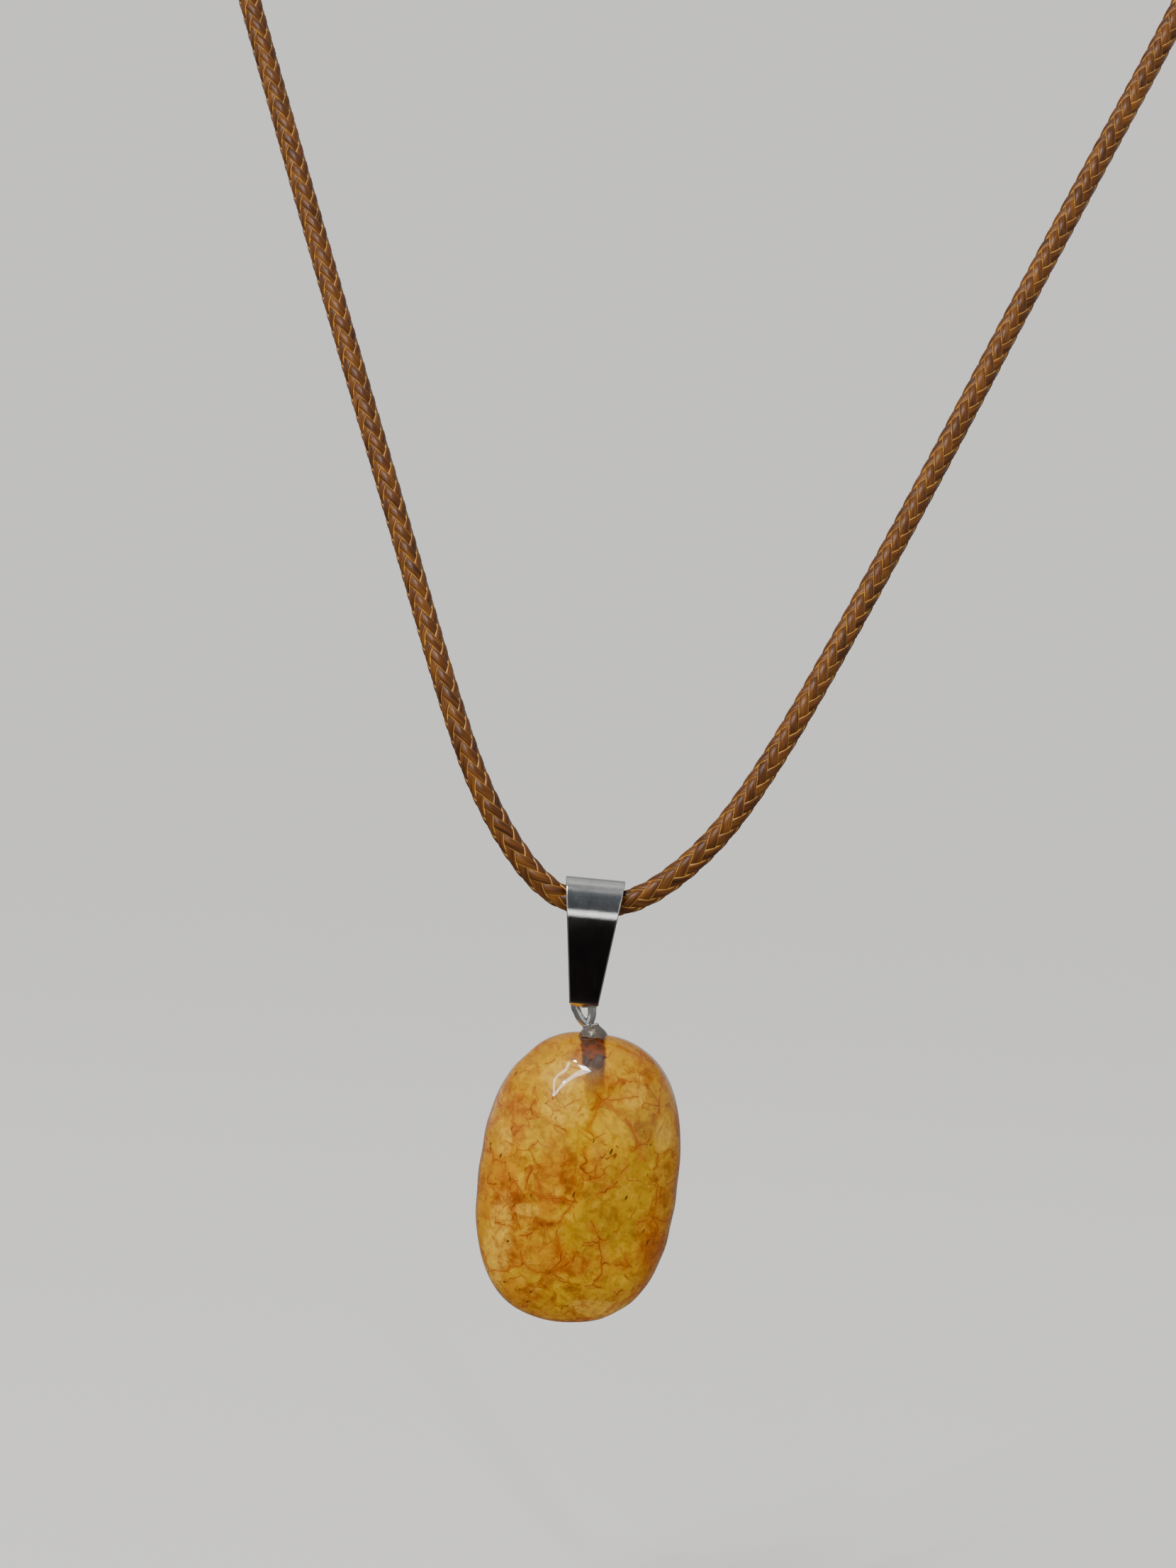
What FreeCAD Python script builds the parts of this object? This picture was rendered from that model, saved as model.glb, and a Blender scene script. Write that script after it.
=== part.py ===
"""Pendant necklace: a drilled stone on a wire eye, hung by a folded bail on a braided cord.

Millimetres, +Z up, front of the pendant facing -Y. The origin is at the back of the loop, on the
clasp's line, where the necklace rests on the nape. The pendant hangs under it, in front.
"""
import FreeCAD, Part
import math
import os

Vec = FreeCAD.Vector
X_AXIS = Vec(1, 0, 0)
Y_AXIS = Vec(0, 1, 0)
Z_AXIS = Vec(0, 0, 1)

# Cord
CORD_DIAMETER = 2.0
LOOP_DEPTH = 44.0    # from the pendant's plane back to the clasp
LOOP_HEIGHT = 143.0  # from the hanging point up to the clasp
HANG = Vec(0, -LOOP_DEPTH, -LOOP_HEIGHT)  # middle of the cord, inside the bail
LEFT_CORD_END = -4.0     # X of the cord's ends, on the clasp's line
RIGHT_CORD_END = 16.56
# The route, from the left end down to the bail and up to the right end, relative to HANG.
ROUTE = [
    (LEFT_CORD_END, 44, 143), (-17, 44, 143), (-30, 43.5, 141), (-40.5, 41, 134),
    (-46, 36.5, 121), (-44.5, 31, 104), (-36.6, 24.5, 81.5), (-25.9, 14.5, 51.4),
    (-17.6, 6.5, 28.8), (-12.3, 2, 14), (-8.9, 0.4, 6.3), (-4.2, 0, 0.1),
    (0.1, 0, -1.15), (4.4, 0, 0), (9.4, 0.3, 4.6), (13.3, 1.2, 10.6), (17.9, 3.7, 19.3),
    (25.5, 8.8, 34.8), (36.7, 17, 58.5), (50.3, 26.5, 86.3), (57, 32.5, 106),
    (57.5, 38, 121.5), (52, 42, 133.5), (42.5, 43.8, 141), (29.4, 44, 143),
    (RIGHT_CORD_END, 44, 143),
]
ARC_SHARE = 0.45     # part of the shorter run that each arc takes

# Bail: a tapered steel strip folded over the cord
BAIL_AXIS_Z = -0.5   # centre of the fold, below the middle of the cord
BAIL_INNER_R = 1.5
BAIL_WALL = 0.3
BAIL_FOLD_DEG = 70.0     # each side of the top, at the fold's own radius
BAIL_SHOULDER_R = 4.5    # middle of the wall, from the fold to the flat leaf
BAIL_LEAF_LEAN_DEG = 7.5
BAIL_LEAF_END_Z = -8.55
BAIL_CURL_R = 0.4        # middle of the wall, where the leaf's end turns in
BAIL_TOP_WIDTH = 4.85
BAIL_BOTTOM_WIDTH = 2.3
BAIL_BOTTOM_Z = -9.1
BAIL_TILT_DEG = 2.2      # the strip leans, its foot towards -X
PRONG_R = 0.25           # the two ends' prongs, on which the eye hangs
PRONG_GAP = 0.04

# Wire eye with its stem
EYE_WIRE_R = 0.35
EYE_ARC_R = 0.7
EYE_CLEARANCE = 0.03
EYE_SLANT_DEG = 15.0
EYE_NECK_DROP = 1.7      # from the arc's centre to the neck
STEM_R = 0.5
STEM_LENGTH = 5.6

# Stone: a tumbled pebble with a superelliptic outline
STONE_HALF = (8.02, 4.7, 11.74)
STONE_POWER = 2.48
STONE_SECTION_POWER = 2.25
STONE_CENTRE = Vec(0.05, 0, -22.85)
STONE_TILT_DEG = 4.5     # its foot towards -X
STONE_SECTIONS = 15
STONE_SECTION_POINTS = 20
HOLE_R = 1.05
HOLE_MOUTH = Vec(0.62, 0, -11.9)
HOLE_LEAN_DEG = 6.0
HOLE_DEPTH = 5.0
DRILL_APPROACH = 3.0
GLUE_DOME_R = 1.2
GLUE_DOME_OFFSET = Vec(-0.08, 0, 0.15)   # from the hole's mouth
GLUE_PLUG_RISE = 0.2

# Closure
CAP_BARREL_R = 1.6
CAP_BARREL_LENGTH = 6.0
CAP_WALL = 0.9
CAP_RIM_RISE = 0.2
CAP_RIM_WIDTH = 0.7
CAP_COLLAR_WIDTH = 0.5
CAP_COLLAR_BACK = 0.3
CAP_END_R = 0.7
CAP_END_RISE = 0.1
LOOP_WIRE_R = 0.35       # the eyes of the end caps
LOOP_R = 0.95
RING_WIRE_R = 0.35       # jump rings
RING_CUT = 0.06
RING_R = 2.1
RUNNING_GAP = 0.03
HOOK_GAP = 0.3          # at the opened pivot, between the clasp's hook and its ring
CLASP_THICKNESS = 1.4
CLASP_CAVITY = (2.2, 1.3)
CLASP_WALL = 0.9
CLASP_TAIL_X = -6.2      # the tail hole's centre, from the cavity's centre
CLASP_TAIL_HOLE_R = 0.65
CLASP_TAIL_WIRE_R = 0.4
CLASP_SHOULDER_X = -0.9  # where the claw starts to taper
CLASP_WAIST_X = -4.6
CLASP_TAIL_HALF = 1.1
CLASP_EDGE = 0.35
SLOT_WIDTH = 0.8
LEVER_WIDTH = 0.7
PIN_R = 0.25
PIN_X = -3.1
PIN_Z = -1.45
LEVER_TIP_X = 1.2
LEVER_GAP = 0.08
GATE_BACK_X = -2.0
GATE_TOP_Z = -0.2
SLOT_BACK_X = -4.0
SLOT_FRONT_X = -1.9
SLOT_TOP_Z = -0.3
NOTCH_BACK_X = -2.6
NOTCH_TOP_Z = -1.9
BELOW_CLASP_Z = -3.0
TOOL_REACH = 4.0          # past both faces of the clasp
LEVER_TOP_Z = 0.05 - CLASP_CAVITY[1]
LEVER_HEIGHT = 0.75
LEVER_STEP = 0.06         # the bar is this much lower than the tip
LEVER_STEP_X = -1.85
LEVER_BAR_END_X = -1.5
LEVER_TIP_WIDTH = 1.1
KNOB_R = 0.5
KNOB_X = -1.3
KNOB_DROP = 1.3
KNOB_WIDTH = 1.3
STALK_HALF = 0.3
STALK_TOP = 0.5
STALK_WIDTH = 0.8
PIN_CLEARANCE = 0.03
PIN_INSET = 0.05
SPRING_BACK_X = -3.7
SPRING_FRONT_X = -2.15
SPRING_FOLD_X = -3.2
SPRING_TOE_X = -2.3
SPRING_LEAF = 0.08
SPRING_WIDTH = 0.5

# Extender chain
LINK_COUNT = 12
LINK_WIRE_R = 0.3
LINK_END_R = 1.3
LINK_HALF_HEIGHT = 1.8   # to the wire's middle
LINK_GAP = 0.04
DROP_R = 1.6
DROP_RUN = 3.2            # from the tip to the ball's centre
DROP_EYE_R = 1.0
DROP_TIP_R = 0.35


def save(name, shape):
    """Write one node."""
    if not shape.isValid():
        raise RuntimeError(name + " is not valid")
    shape.exportStep("parts/" + name + ".step")
    print(name, "volume", round(shape.Volume, 3), "solids", len(shape.Solids))


def tube(wire, start, direction, radius):
    """A round bar along a smooth wire."""
    circle = Part.Wire(Part.makeCircle(radius, start, direction))
    return wire.makePipeShell([circle], True, False)


def rounded_route(points):
    """Straight runs joined by tangent arcs; returns the wire and the arcs' radii."""
    edges = []
    radii = []
    here = points[0]
    for before, corner, after in zip(points, points[1:], points[2:]):
        run_in = corner - before
        run_out = after - corner
        turn = run_in.getAngle(run_out)
        reach = ARC_SHARE * min(run_in.Length, run_out.Length)
        run_in.normalize()
        run_out.normalize()
        arc_start = corner - run_in * reach
        arc_end = corner + run_out * reach
        radius = reach / math.tan(turn / 2)
        towards_centre = (run_out - run_in).normalize()
        centre = corner + towards_centre * (radius / math.cos(turn / 2))
        middle = centre - towards_centre * radius
        edges.append(Part.LineSegment(here, arc_start).toShape())
        edges.append(Part.Arc(arc_start, middle, arc_end).toShape())
        radii.append(radius)
        here = arc_end
    edges.append(Part.LineSegment(here, points[-1]).toShape())
    return Part.Wire(edges), radii


def make_cord():
    """The whole cord, a plain tube."""
    points = [HANG + Vec(*p) for p in ROUTE]
    wire, radii = rounded_route(points)
    start_direction = points[1] - points[0]
    cord = tube(wire, points[0], start_direction, CORD_DIAMETER / 2)
    section = math.pi * CORD_DIAMETER ** 2 / 4
    print("cord length", round(wire.Length, 2), "radii", [round(r, 1) for r in radii])
    print("cord volume", round(cord.Volume, 1), "section x length", round(section * wire.Length, 1))
    return cord


def bail_side(offset, mirror):
    """Points of one side of the strip's face at an offset from the middle of its wall (Y, Z)."""
    fold_r = BAIL_INNER_R + BAIL_WALL / 2
    fold = math.radians(BAIL_FOLD_DEG)
    lean = math.radians(BAIL_LEAF_LEAN_DEG)
    end = math.pi / 2 + lean
    centre = Vec(0, 0, BAIL_AXIS_Z)
    out = Vec(0, -1, 0)

    def at(middle, radius, angle):
        return middle + out * (radius * math.sin(angle)) + Z_AXIS * (radius * math.cos(angle))

    shoulder = at(centre, fold_r - BAIL_SHOULDER_R, fold)
    leaf_top = at(shoulder, BAIL_SHOULDER_R + offset, end)
    down = Vec(0, math.sin(lean), -math.cos(lean))
    leaf_middle_top = at(shoulder, BAIL_SHOULDER_R, end)
    leaf_length = (leaf_middle_top.z - BAIL_LEAF_END_Z) / math.cos(lean)
    leaf_end = leaf_top + down * leaf_length
    curl = leaf_middle_top + down * leaf_length - Vec(0, -math.cos(lean), -math.sin(lean)) * BAIL_CURL_R
    curl_r = BAIL_CURL_R + offset
    pieces = [
        (at(centre, fold_r + offset, 0), at(centre, fold_r + offset, fold / 2),
         at(centre, fold_r + offset, fold)),
        (at(centre, fold_r + offset, fold), at(shoulder, BAIL_SHOULDER_R + offset, (fold + end) / 2),
         leaf_top),
        (leaf_top, leaf_end),
        (leaf_end, at(curl, curl_r, (end + math.pi) / 2), at(curl, curl_r, math.pi)),
    ]
    if mirror:
        pieces = [tuple(Vec(p.x, -p.y, p.z) for p in piece) for piece in pieces]
    return pieces, Vec(curl.x, curl.y * (-1 if mirror else 1), curl.z)


def edges_through(pieces):
    """Lines for pairs of points and arcs for threes."""
    edges = []
    for piece in pieces:
        if len(piece) == 2:
            edges.append(Part.LineSegment(*piece).toShape())
        else:
            edges.append(Part.Arc(*piece).toShape())
    return edges


def bail_half(mirror):
    """One leaf with half of the fold, as a face in the YZ plane."""
    outer, _ = bail_side(BAIL_WALL / 2, mirror)
    inner, _ = bail_side(-BAIL_WALL / 2, mirror)
    top = Part.LineSegment(outer[0][0], inner[0][0]).toShape()
    foot = Part.LineSegment(outer[-1][-1], inner[-1][-1]).toShape()
    ring = Part.sortEdges([top, foot] + edges_through(outer) + edges_through(inner))[0]
    return Part.Face(Part.Wire(ring))


def prong_z():
    """Height of the two prongs' middle."""
    return bail_side(0, False)[0][-1][-1].z


def make_bail():
    """The folded strip with its inward prongs, leaning about the fold."""
    width = BAIL_TOP_WIDTH
    shift = Vec(-width / 2, 0, 0)
    strip = None
    for mirror in (False, True):
        face = bail_half(mirror)
        face.translate(shift)
        leaf = face.extrude(X_AXIS * width)
        strip = leaf if strip is None else strip.fuse(leaf)
    top_z = BAIL_AXIS_Z + BAIL_INNER_R + BAIL_WALL
    half_top = BAIL_TOP_WIDTH / 2
    half_foot = BAIL_BOTTOM_WIDTH / 2
    depth = 3 * BAIL_INNER_R
    corners = [
        Vec(-half_top, -depth, top_z), Vec(half_top, -depth, top_z),
        Vec(half_foot, -depth, BAIL_BOTTOM_Z), Vec(-half_foot, -depth, BAIL_BOTTOM_Z),
    ]
    taper = Part.Face(Part.makePolygon(corners + corners[:1])).extrude(Y_AXIS * (2 * depth))
    bail = strip.common(taper)
    curl_y = abs(bail_side(0, False)[1].y)
    for side in (-1, 1):
        start = Vec(0, side * curl_y, prong_z())
        length = curl_y - PRONG_GAP
        bail = bail.fuse(Part.makeCylinder(PRONG_R, length, start, Vec(0, -side, 0)))
    bail = bail.removeSplitter()
    bail.rotate(Vec(0, 0, BAIL_AXIS_Z), Y_AXIS, BAIL_TILT_DEG)
    bail.translate(HANG)
    return bail


def eye_centre():
    """Centre of the eye's top arc, which rests on the prongs."""
    below = EYE_ARC_R - EYE_WIRE_R - PRONG_R - EYE_CLEARANCE
    reach = BAIL_AXIS_Z - prong_z()
    lean = math.radians(BAIL_TILT_DEG)
    prong = Vec(-reach * math.sin(lean), 0, BAIL_AXIS_Z - reach * math.cos(lean))
    return prong - Z_AXIS * below


def make_eye_peg():
    """A teardrop wire eye and its stem, in one piece."""
    centre = eye_centre()
    spread = math.acos(EYE_ARC_R / EYE_NECK_DROP)
    tangent = math.pi / 2 - spread
    left = centre + Vec(-EYE_ARC_R * math.cos(tangent), 0, -EYE_ARC_R * math.sin(tangent))
    right = centre + Vec(EYE_ARC_R * math.cos(tangent), 0, -EYE_ARC_R * math.sin(tangent))
    neck = centre - Z_AXIS * EYE_NECK_DROP
    arc = Part.Arc(left, centre + Z_AXIS * EYE_ARC_R, right).toShape()
    start = (left - neck).normalize()
    eye = tube(Part.Wire([arc]), left, start, EYE_WIRE_R)
    limbs = [
        Part.makeCylinder(EYE_WIRE_R, (foot - neck).Length, neck, foot - neck) for foot in (left, right)]
    knot = Part.makeSphere(STEM_R, neck)
    stem = Part.makeCylinder(STEM_R, STEM_LENGTH, neck, -Z_AXIS)
    peg = eye.fuse(limbs + [knot, stem]).removeSplitter()
    peg.rotate(centre, Y_AXIS, -EYE_SLANT_DEG)
    peg.translate(HANG)
    return peg


def superellipse(half_x, half_y, z, power, count):
    """A closed smooth wire at one height."""
    points = []
    for k in range(count):
        angle = 2 * math.pi * k / count
        c, s = math.cos(angle), math.sin(angle)
        x = math.copysign(abs(c) ** (2 / power), c) * half_x
        y = math.copysign(abs(s) ** (2 / power), s) * half_y
        points.append(Vec(x, y, z))
    curve = Part.BSplineCurve()
    curve.interpolate(points, PeriodicFlag=True)
    return Part.Wire(curve.toShape())


def stone_body():
    """The pebble without its hole, upright at its own centre."""
    half_x, half_y, half_z = STONE_HALF
    sections = []
    for k in range(STONE_SECTIONS):
        angle = math.pi * (0.5 + k) / STONE_SECTIONS - math.pi / 2
        z = half_z * math.sin(angle)
        share = (1 - abs(z / half_z) ** STONE_POWER) ** (1 / STONE_POWER)
        sections.append(superellipse(
            half_x * share, half_y * share, z, STONE_SECTION_POWER, STONE_SECTION_POINTS))
    return Part.makeLoft(sections, True, False)


def hole_tool(above):
    """A cylinder along the stone's hole, from some way above its mouth to its floor."""
    lean = math.radians(HOLE_LEAN_DEG)
    down = Vec(math.sin(lean), 0, -math.cos(lean))
    return Part.makeCylinder(HOLE_R, HOLE_DEPTH + above, HOLE_MOUTH - down * above, down)


def make_stone():
    """The drilled pebble."""
    stone = stone_body()
    stone.rotate(Vec(0, 0, 0), Y_AXIS, STONE_TILT_DEG)
    stone.translate(STONE_CENTRE)
    stone = stone.cut(hole_tool(DRILL_APPROACH))
    stone.translate(HANG)
    return stone


def make_glue(peg, stone):
    """Clear glue: a plug round the stem and a dome over the hole's mouth."""
    dome = Part.makeSphere(GLUE_DOME_R, HOLE_MOUTH + GLUE_DOME_OFFSET)
    glue = hole_tool(GLUE_PLUG_RISE).fuse(dome)
    glue.translate(HANG)
    return glue.cut(peg).cut(stone)


def cap_loop_x(cord_end_x, side):
    """X of a cap's eye; side is +1 where the cap points towards +X."""
    return cord_end_x + side * (CAP_WALL + LOOP_R)


def make_cap(cord_end_x, side):
    """A barrel glued over the cord's end, with a turned rim, a domed end and an eye."""
    axis = X_AXIS * side
    mouth = Vec(cord_end_x, 0, 0) - axis * CAP_BARREL_LENGTH
    barrel = Part.makeCylinder(CAP_BARREL_R, CAP_BARREL_LENGTH + CAP_WALL / 2, mouth, axis)
    rim = Part.makeCylinder(CAP_BARREL_R + CAP_RIM_RISE, CAP_RIM_WIDTH, mouth, axis)
    end = mouth + axis * (CAP_BARREL_LENGTH + CAP_WALL / 2)
    collar_start = mouth + axis * (CAP_BARREL_LENGTH - CAP_COLLAR_BACK)
    collar = Part.makeCylinder(CAP_BARREL_R + CAP_RIM_RISE, CAP_COLLAR_WIDTH, collar_start, axis)
    dome = Part.makeCone(CAP_BARREL_R, CAP_END_R, CAP_WALL / 2 + CAP_END_RISE, end, axis)
    bore = Part.makeCylinder(CORD_DIAMETER / 2, CAP_BARREL_LENGTH, mouth, axis)
    eye = Part.makeTorus(LOOP_R, LOOP_WIRE_R, Vec(cap_loop_x(cord_end_x, side), 0, 0), Y_AXIS)
    return barrel.fuse([rim, collar, dome, eye]).cut(bore).removeSplitter()


def chain_positions():
    """X of each closure piece, from the left cord end to the right one."""
    inner = LOOP_R - LOOP_WIRE_R
    loop_left = cap_loop_x(LEFT_CORD_END, 1)
    hold = RING_WIRE_R + RUNNING_GAP
    ring_left = loop_left + inner - hold + RING_R
    tail = ring_left + RING_R - hold + CLASP_TAIL_HOLE_R
    cavity = tail - CLASP_TAIL_X
    ring_right = cavity + CLASP_CAVITY[0] - RING_WIRE_R - HOOK_GAP + RING_R
    loop_right = ring_right + RING_R - hold + inner
    return {
        "loop_left": loop_left, "ring_left": ring_left, "tail": tail, "cavity": cavity,
        "ring_right": ring_right, "loop_right": loop_right,
        "right_cord_end": loop_right + CAP_WALL + LOOP_R,
    }


def make_ring(x):
    """A jump ring lying level, with its cut left as a hair gap."""
    ring = Part.makeTorus(RING_R, RING_WIRE_R, Vec(x, 0, 0), Z_AXIS)
    reach = 2 * RING_WIRE_R
    cut = Part.makeBox(
        RING_CUT, 2 * reach, 2 * reach, Vec(x - RING_CUT / 2, -RING_R - reach, -reach))
    return ring.cut(cut)


def slab(face, thickness):
    """Extrude a face of the XZ plane to both sides."""
    face.translate(Vec(0, -thickness / 2, 0))
    return face.extrude(Y_AXIS * thickness)


def ellipse_face(x, z, half_x, half_z):
    """An upright elliptic face."""
    curve = Part.Ellipse(Vec(x, 0, z), half_x, half_z)
    curve.rotate(FreeCAD.Placement(Vec(x, 0, z), FreeCAD.Rotation(X_AXIS, 90), Vec(0, 0, 0)))
    return Part.Face(Part.Wire(curve.toShape()))


def clasp_outline():
    """The lobster body's outline, a rounded claw that tapers to its tail, in the XZ plane."""
    big = CLASP_CAVITY[1] + CLASP_WALL
    front_x = CLASP_CAVITY[0] + CLASP_WALL - big
    small = CLASP_TAIL_HALF
    span = CLASP_SHOULDER_X - CLASP_WAIST_X
    slope = math.asin((big - small) / span)
    rise = Vec(-math.sin(slope), 0, math.cos(slope))
    fall = Vec(-math.sin(slope), 0, -math.cos(slope))
    shoulder = Vec(CLASP_SHOULDER_X, 0, 0)
    waist = Vec(CLASP_WAIST_X, 0, 0)
    half = slope / 2
    rise_middle = Vec(-math.sin(half), 0, math.cos(half)) * big
    fall_middle = Vec(-math.sin(half), 0, -math.cos(half)) * big
    pieces = [
        (Vec(front_x, 0, -big), Vec(front_x + big, 0, 0), Vec(front_x, 0, big)),
        (Vec(front_x, 0, big), shoulder + Z_AXIS * big),
        (shoulder + Z_AXIS * big, shoulder + rise_middle, shoulder + rise * big),
        (shoulder + rise * big, waist + rise * small),
        (waist + rise * small, waist - X_AXIS * small, waist + fall * small),
        (waist + fall * small, shoulder + fall * big),
        (shoulder + fall * big, shoulder + fall_middle, shoulder - Z_AXIS * big),
        (shoulder - Z_AXIS * big, Vec(front_x, 0, -big)),
    ]
    return Part.Face(Part.Wire(edges_through(pieces)))


def xz_box(x0, x1, z0, z1, width):
    """A box centred on the XZ plane."""
    return Part.makeBox(x1 - x0, width, z1 - z0, Vec(x0, -width / 2, z0))


def make_clasp_body():
    """The claw with its tail eye, its lever slot and the gate's opening, at the cavity's centre."""
    body = slab(clasp_outline(), CLASP_THICKNESS)
    body = body.makeFillet(CLASP_EDGE, body.Edges)
    tail = Part.makeTorus(
        CLASP_TAIL_HOLE_R + CLASP_TAIL_WIRE_R, CLASP_TAIL_WIRE_R, Vec(CLASP_TAIL_X, 0, 0), Y_AXIS)
    body = body.fuse(tail)
    side = -TOOL_REACH / 2
    hole = Part.makeCylinder(CLASP_TAIL_HOLE_R, TOOL_REACH, Vec(CLASP_TAIL_X, side, 0), Y_AXIS)
    cavity = slab(ellipse_face(0, 0, *CLASP_CAVITY), TOOL_REACH)
    gate = xz_box(GATE_BACK_X, LEVER_TIP_X, BELOW_CLASP_Z, GATE_TOP_Z, TOOL_REACH)
    slot = xz_box(SLOT_BACK_X, SLOT_FRONT_X, BELOW_CLASP_Z, SLOT_TOP_Z, SLOT_WIDTH)
    notch = xz_box(NOTCH_BACK_X, SLOT_FRONT_X, BELOW_CLASP_Z, NOTCH_TOP_Z, TOOL_REACH)
    bore = Part.makeCylinder(PIN_R, TOOL_REACH, Vec(PIN_X, side, PIN_Z), Y_AXIS)
    for tool in (hole, cavity, gate, slot, notch, bore):
        body = body.cut(tool)
    return body.removeSplitter()


def make_clasp_lever():
    """The gate lever with its thumb knob and its pivot bore."""
    top = LEVER_TOP_Z
    low = top - LEVER_HEIGHT
    tip = xz_box(LEVER_STEP_X, LEVER_TIP_X - LEVER_GAP, low, top, LEVER_TIP_WIDTH)
    bar = xz_box(PIN_X, LEVER_BAR_END_X, low + LEVER_STEP, top - LEVER_STEP, LEVER_WIDTH)
    eye = Part.makeCylinder(KNOB_R, LEVER_WIDTH, Vec(PIN_X, -LEVER_WIDTH / 2, PIN_Z), Y_AXIS)
    knob_place = Vec(KNOB_X, -KNOB_WIDTH / 2, top - KNOB_DROP)
    knob = Part.makeCylinder(KNOB_R, KNOB_WIDTH, knob_place, Y_AXIS)
    stalk = xz_box(
        KNOB_X - STALK_HALF, KNOB_X + STALK_HALF, top - KNOB_DROP, top - STALK_TOP, STALK_WIDTH)
    lever = bar.fuse([tip, eye, knob, stalk])
    bore_r = PIN_R + PIN_CLEARANCE
    bore = Part.makeCylinder(bore_r, TOOL_REACH, Vec(PIN_X, -TOOL_REACH / 2, PIN_Z), Y_AXIS)
    return lever.cut(bore).removeSplitter()


def make_clasp_pin():
    """The riveted pivot pin of the lever."""
    half = CLASP_THICKNESS / 2 - PIN_INSET
    return Part.makeCylinder(PIN_R, 2 * half, Vec(PIN_X, -half, PIN_Z), Y_AXIS)


def make_clasp_spring():
    """The bent leaf that holds the lever shut, between the slot's roof and the lever's bar."""
    roof = SLOT_TOP_Z - SPRING_LEAF
    bar = LEVER_TOP_Z + 1.5 * SPRING_LEAF
    bends = [
        Vec(SPRING_BACK_X, 0, roof), Vec(SPRING_FRONT_X, 0, roof),
        Vec(SPRING_FOLD_X, 0, (roof + bar) / 2), Vec(SPRING_TOE_X, 0, bar),
    ]
    runs = []
    for start, end in zip(bends, bends[1:]):
        run = end - start
        leaf = Part.makeBox(
            run.Length, SPRING_WIDTH, SPRING_LEAF, Vec(0, -SPRING_WIDTH / 2, -SPRING_LEAF / 2))
        leaf.rotate(Vec(0, 0, 0), Y_AXIS, -math.degrees(math.atan2(run.z, run.x)))
        leaf.translate(start)
        runs.append(leaf)
        runs.append(Part.makeCylinder(
            SPRING_LEAF / 2, SPRING_WIDTH, start - Y_AXIS * (SPRING_WIDTH / 2), Y_AXIS))
    return runs[0].fuse(runs[1:]).removeSplitter()


def make_link():
    """An oval chain link standing in the XZ plane, centred at the origin."""
    half_run = LINK_HALF_HEIGHT - LINK_END_R
    top = Part.makeTorus(LINK_END_R, LINK_WIRE_R, Vec(0, 0, half_run), Y_AXIS)
    bottom = Part.makeTorus(LINK_END_R, LINK_WIRE_R, Vec(0, 0, -half_run), Y_AXIS)
    far = 2 * LINK_HALF_HEIGHT
    above = Part.makeBox(2 * far, 2 * far, far, Vec(-far, -far, half_run))
    below = Part.makeBox(2 * far, 2 * far, far, Vec(-far, -far, -half_run - far))
    limbs = [
        Part.makeCylinder(LINK_WIRE_R, 2 * half_run, Vec(x, 0, -half_run), Z_AXIS)
        for x in (-LINK_END_R, LINK_END_R)
    ]
    return top.common(above).fuse([bottom.common(below)] + limbs).removeSplitter()


def link_pivots(ring_x):
    """Where each link hangs: the middle of the wire that carries it."""
    pivot = Vec(ring_x, RING_R, 0)
    carrier_r = RING_WIRE_R
    pivots = []
    for _ in range(LINK_COUNT + 1):
        pivots.append((pivot, carrier_r))
        rise = carrier_r + LINK_WIRE_R + LINK_GAP
        pivot = pivot + Z_AXIS * (rise - 2 * LINK_HALF_HEIGHT)
        carrier_r = LINK_WIRE_R
    return pivots


def save_chain(ring_x):
    """The links, turned a quarter turn one after the other, and the end drop."""
    pivots = link_pivots(ring_x)
    for k, (pivot, carrier_r) in enumerate(pivots[:-1]):
        link = make_link()
        if k % 2 == 0:
            link.rotate(Vec(0, 0, 0), Z_AXIS, 90)
        rise = carrier_r + LINK_WIRE_R + LINK_GAP
        link.translate(pivot + Z_AXIS * (rise - LINK_HALF_HEIGHT))
        save("chain_link_%02d" % (k + 1), link)
    pivot, carrier_r = pivots[-1]
    drop = make_drop()
    drop.translate(pivot + Z_AXIS * (carrier_r + LINK_WIRE_R + LINK_GAP))
    save("chain_drop", drop)
    print("chain pivots", [tuple(round(c, 4) for c in p) for p, _ in pivots])


def make_drop():
    """A small solid teardrop with its eye; the eye's wire top is at the origin."""
    eye = Part.makeTorus(DROP_EYE_R, LINK_WIRE_R, Vec(0, 0, -DROP_EYE_R), X_AXIS)
    tip_z = -2 * DROP_EYE_R
    ball_z = tip_z - DROP_RUN
    ball = Part.makeSphere(DROP_R, Vec(0, 0, ball_z))
    lean = math.asin((DROP_R - DROP_TIP_R) / DROP_RUN)
    low_r = DROP_R * math.cos(lean)
    low_z = ball_z + DROP_R * math.sin(lean)
    cone = Part.makeCone(low_r, DROP_TIP_R, tip_z - low_z, Vec(0, 0, low_z), Z_AXIS)
    return ball.fuse([cone, eye]).removeSplitter()


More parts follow.
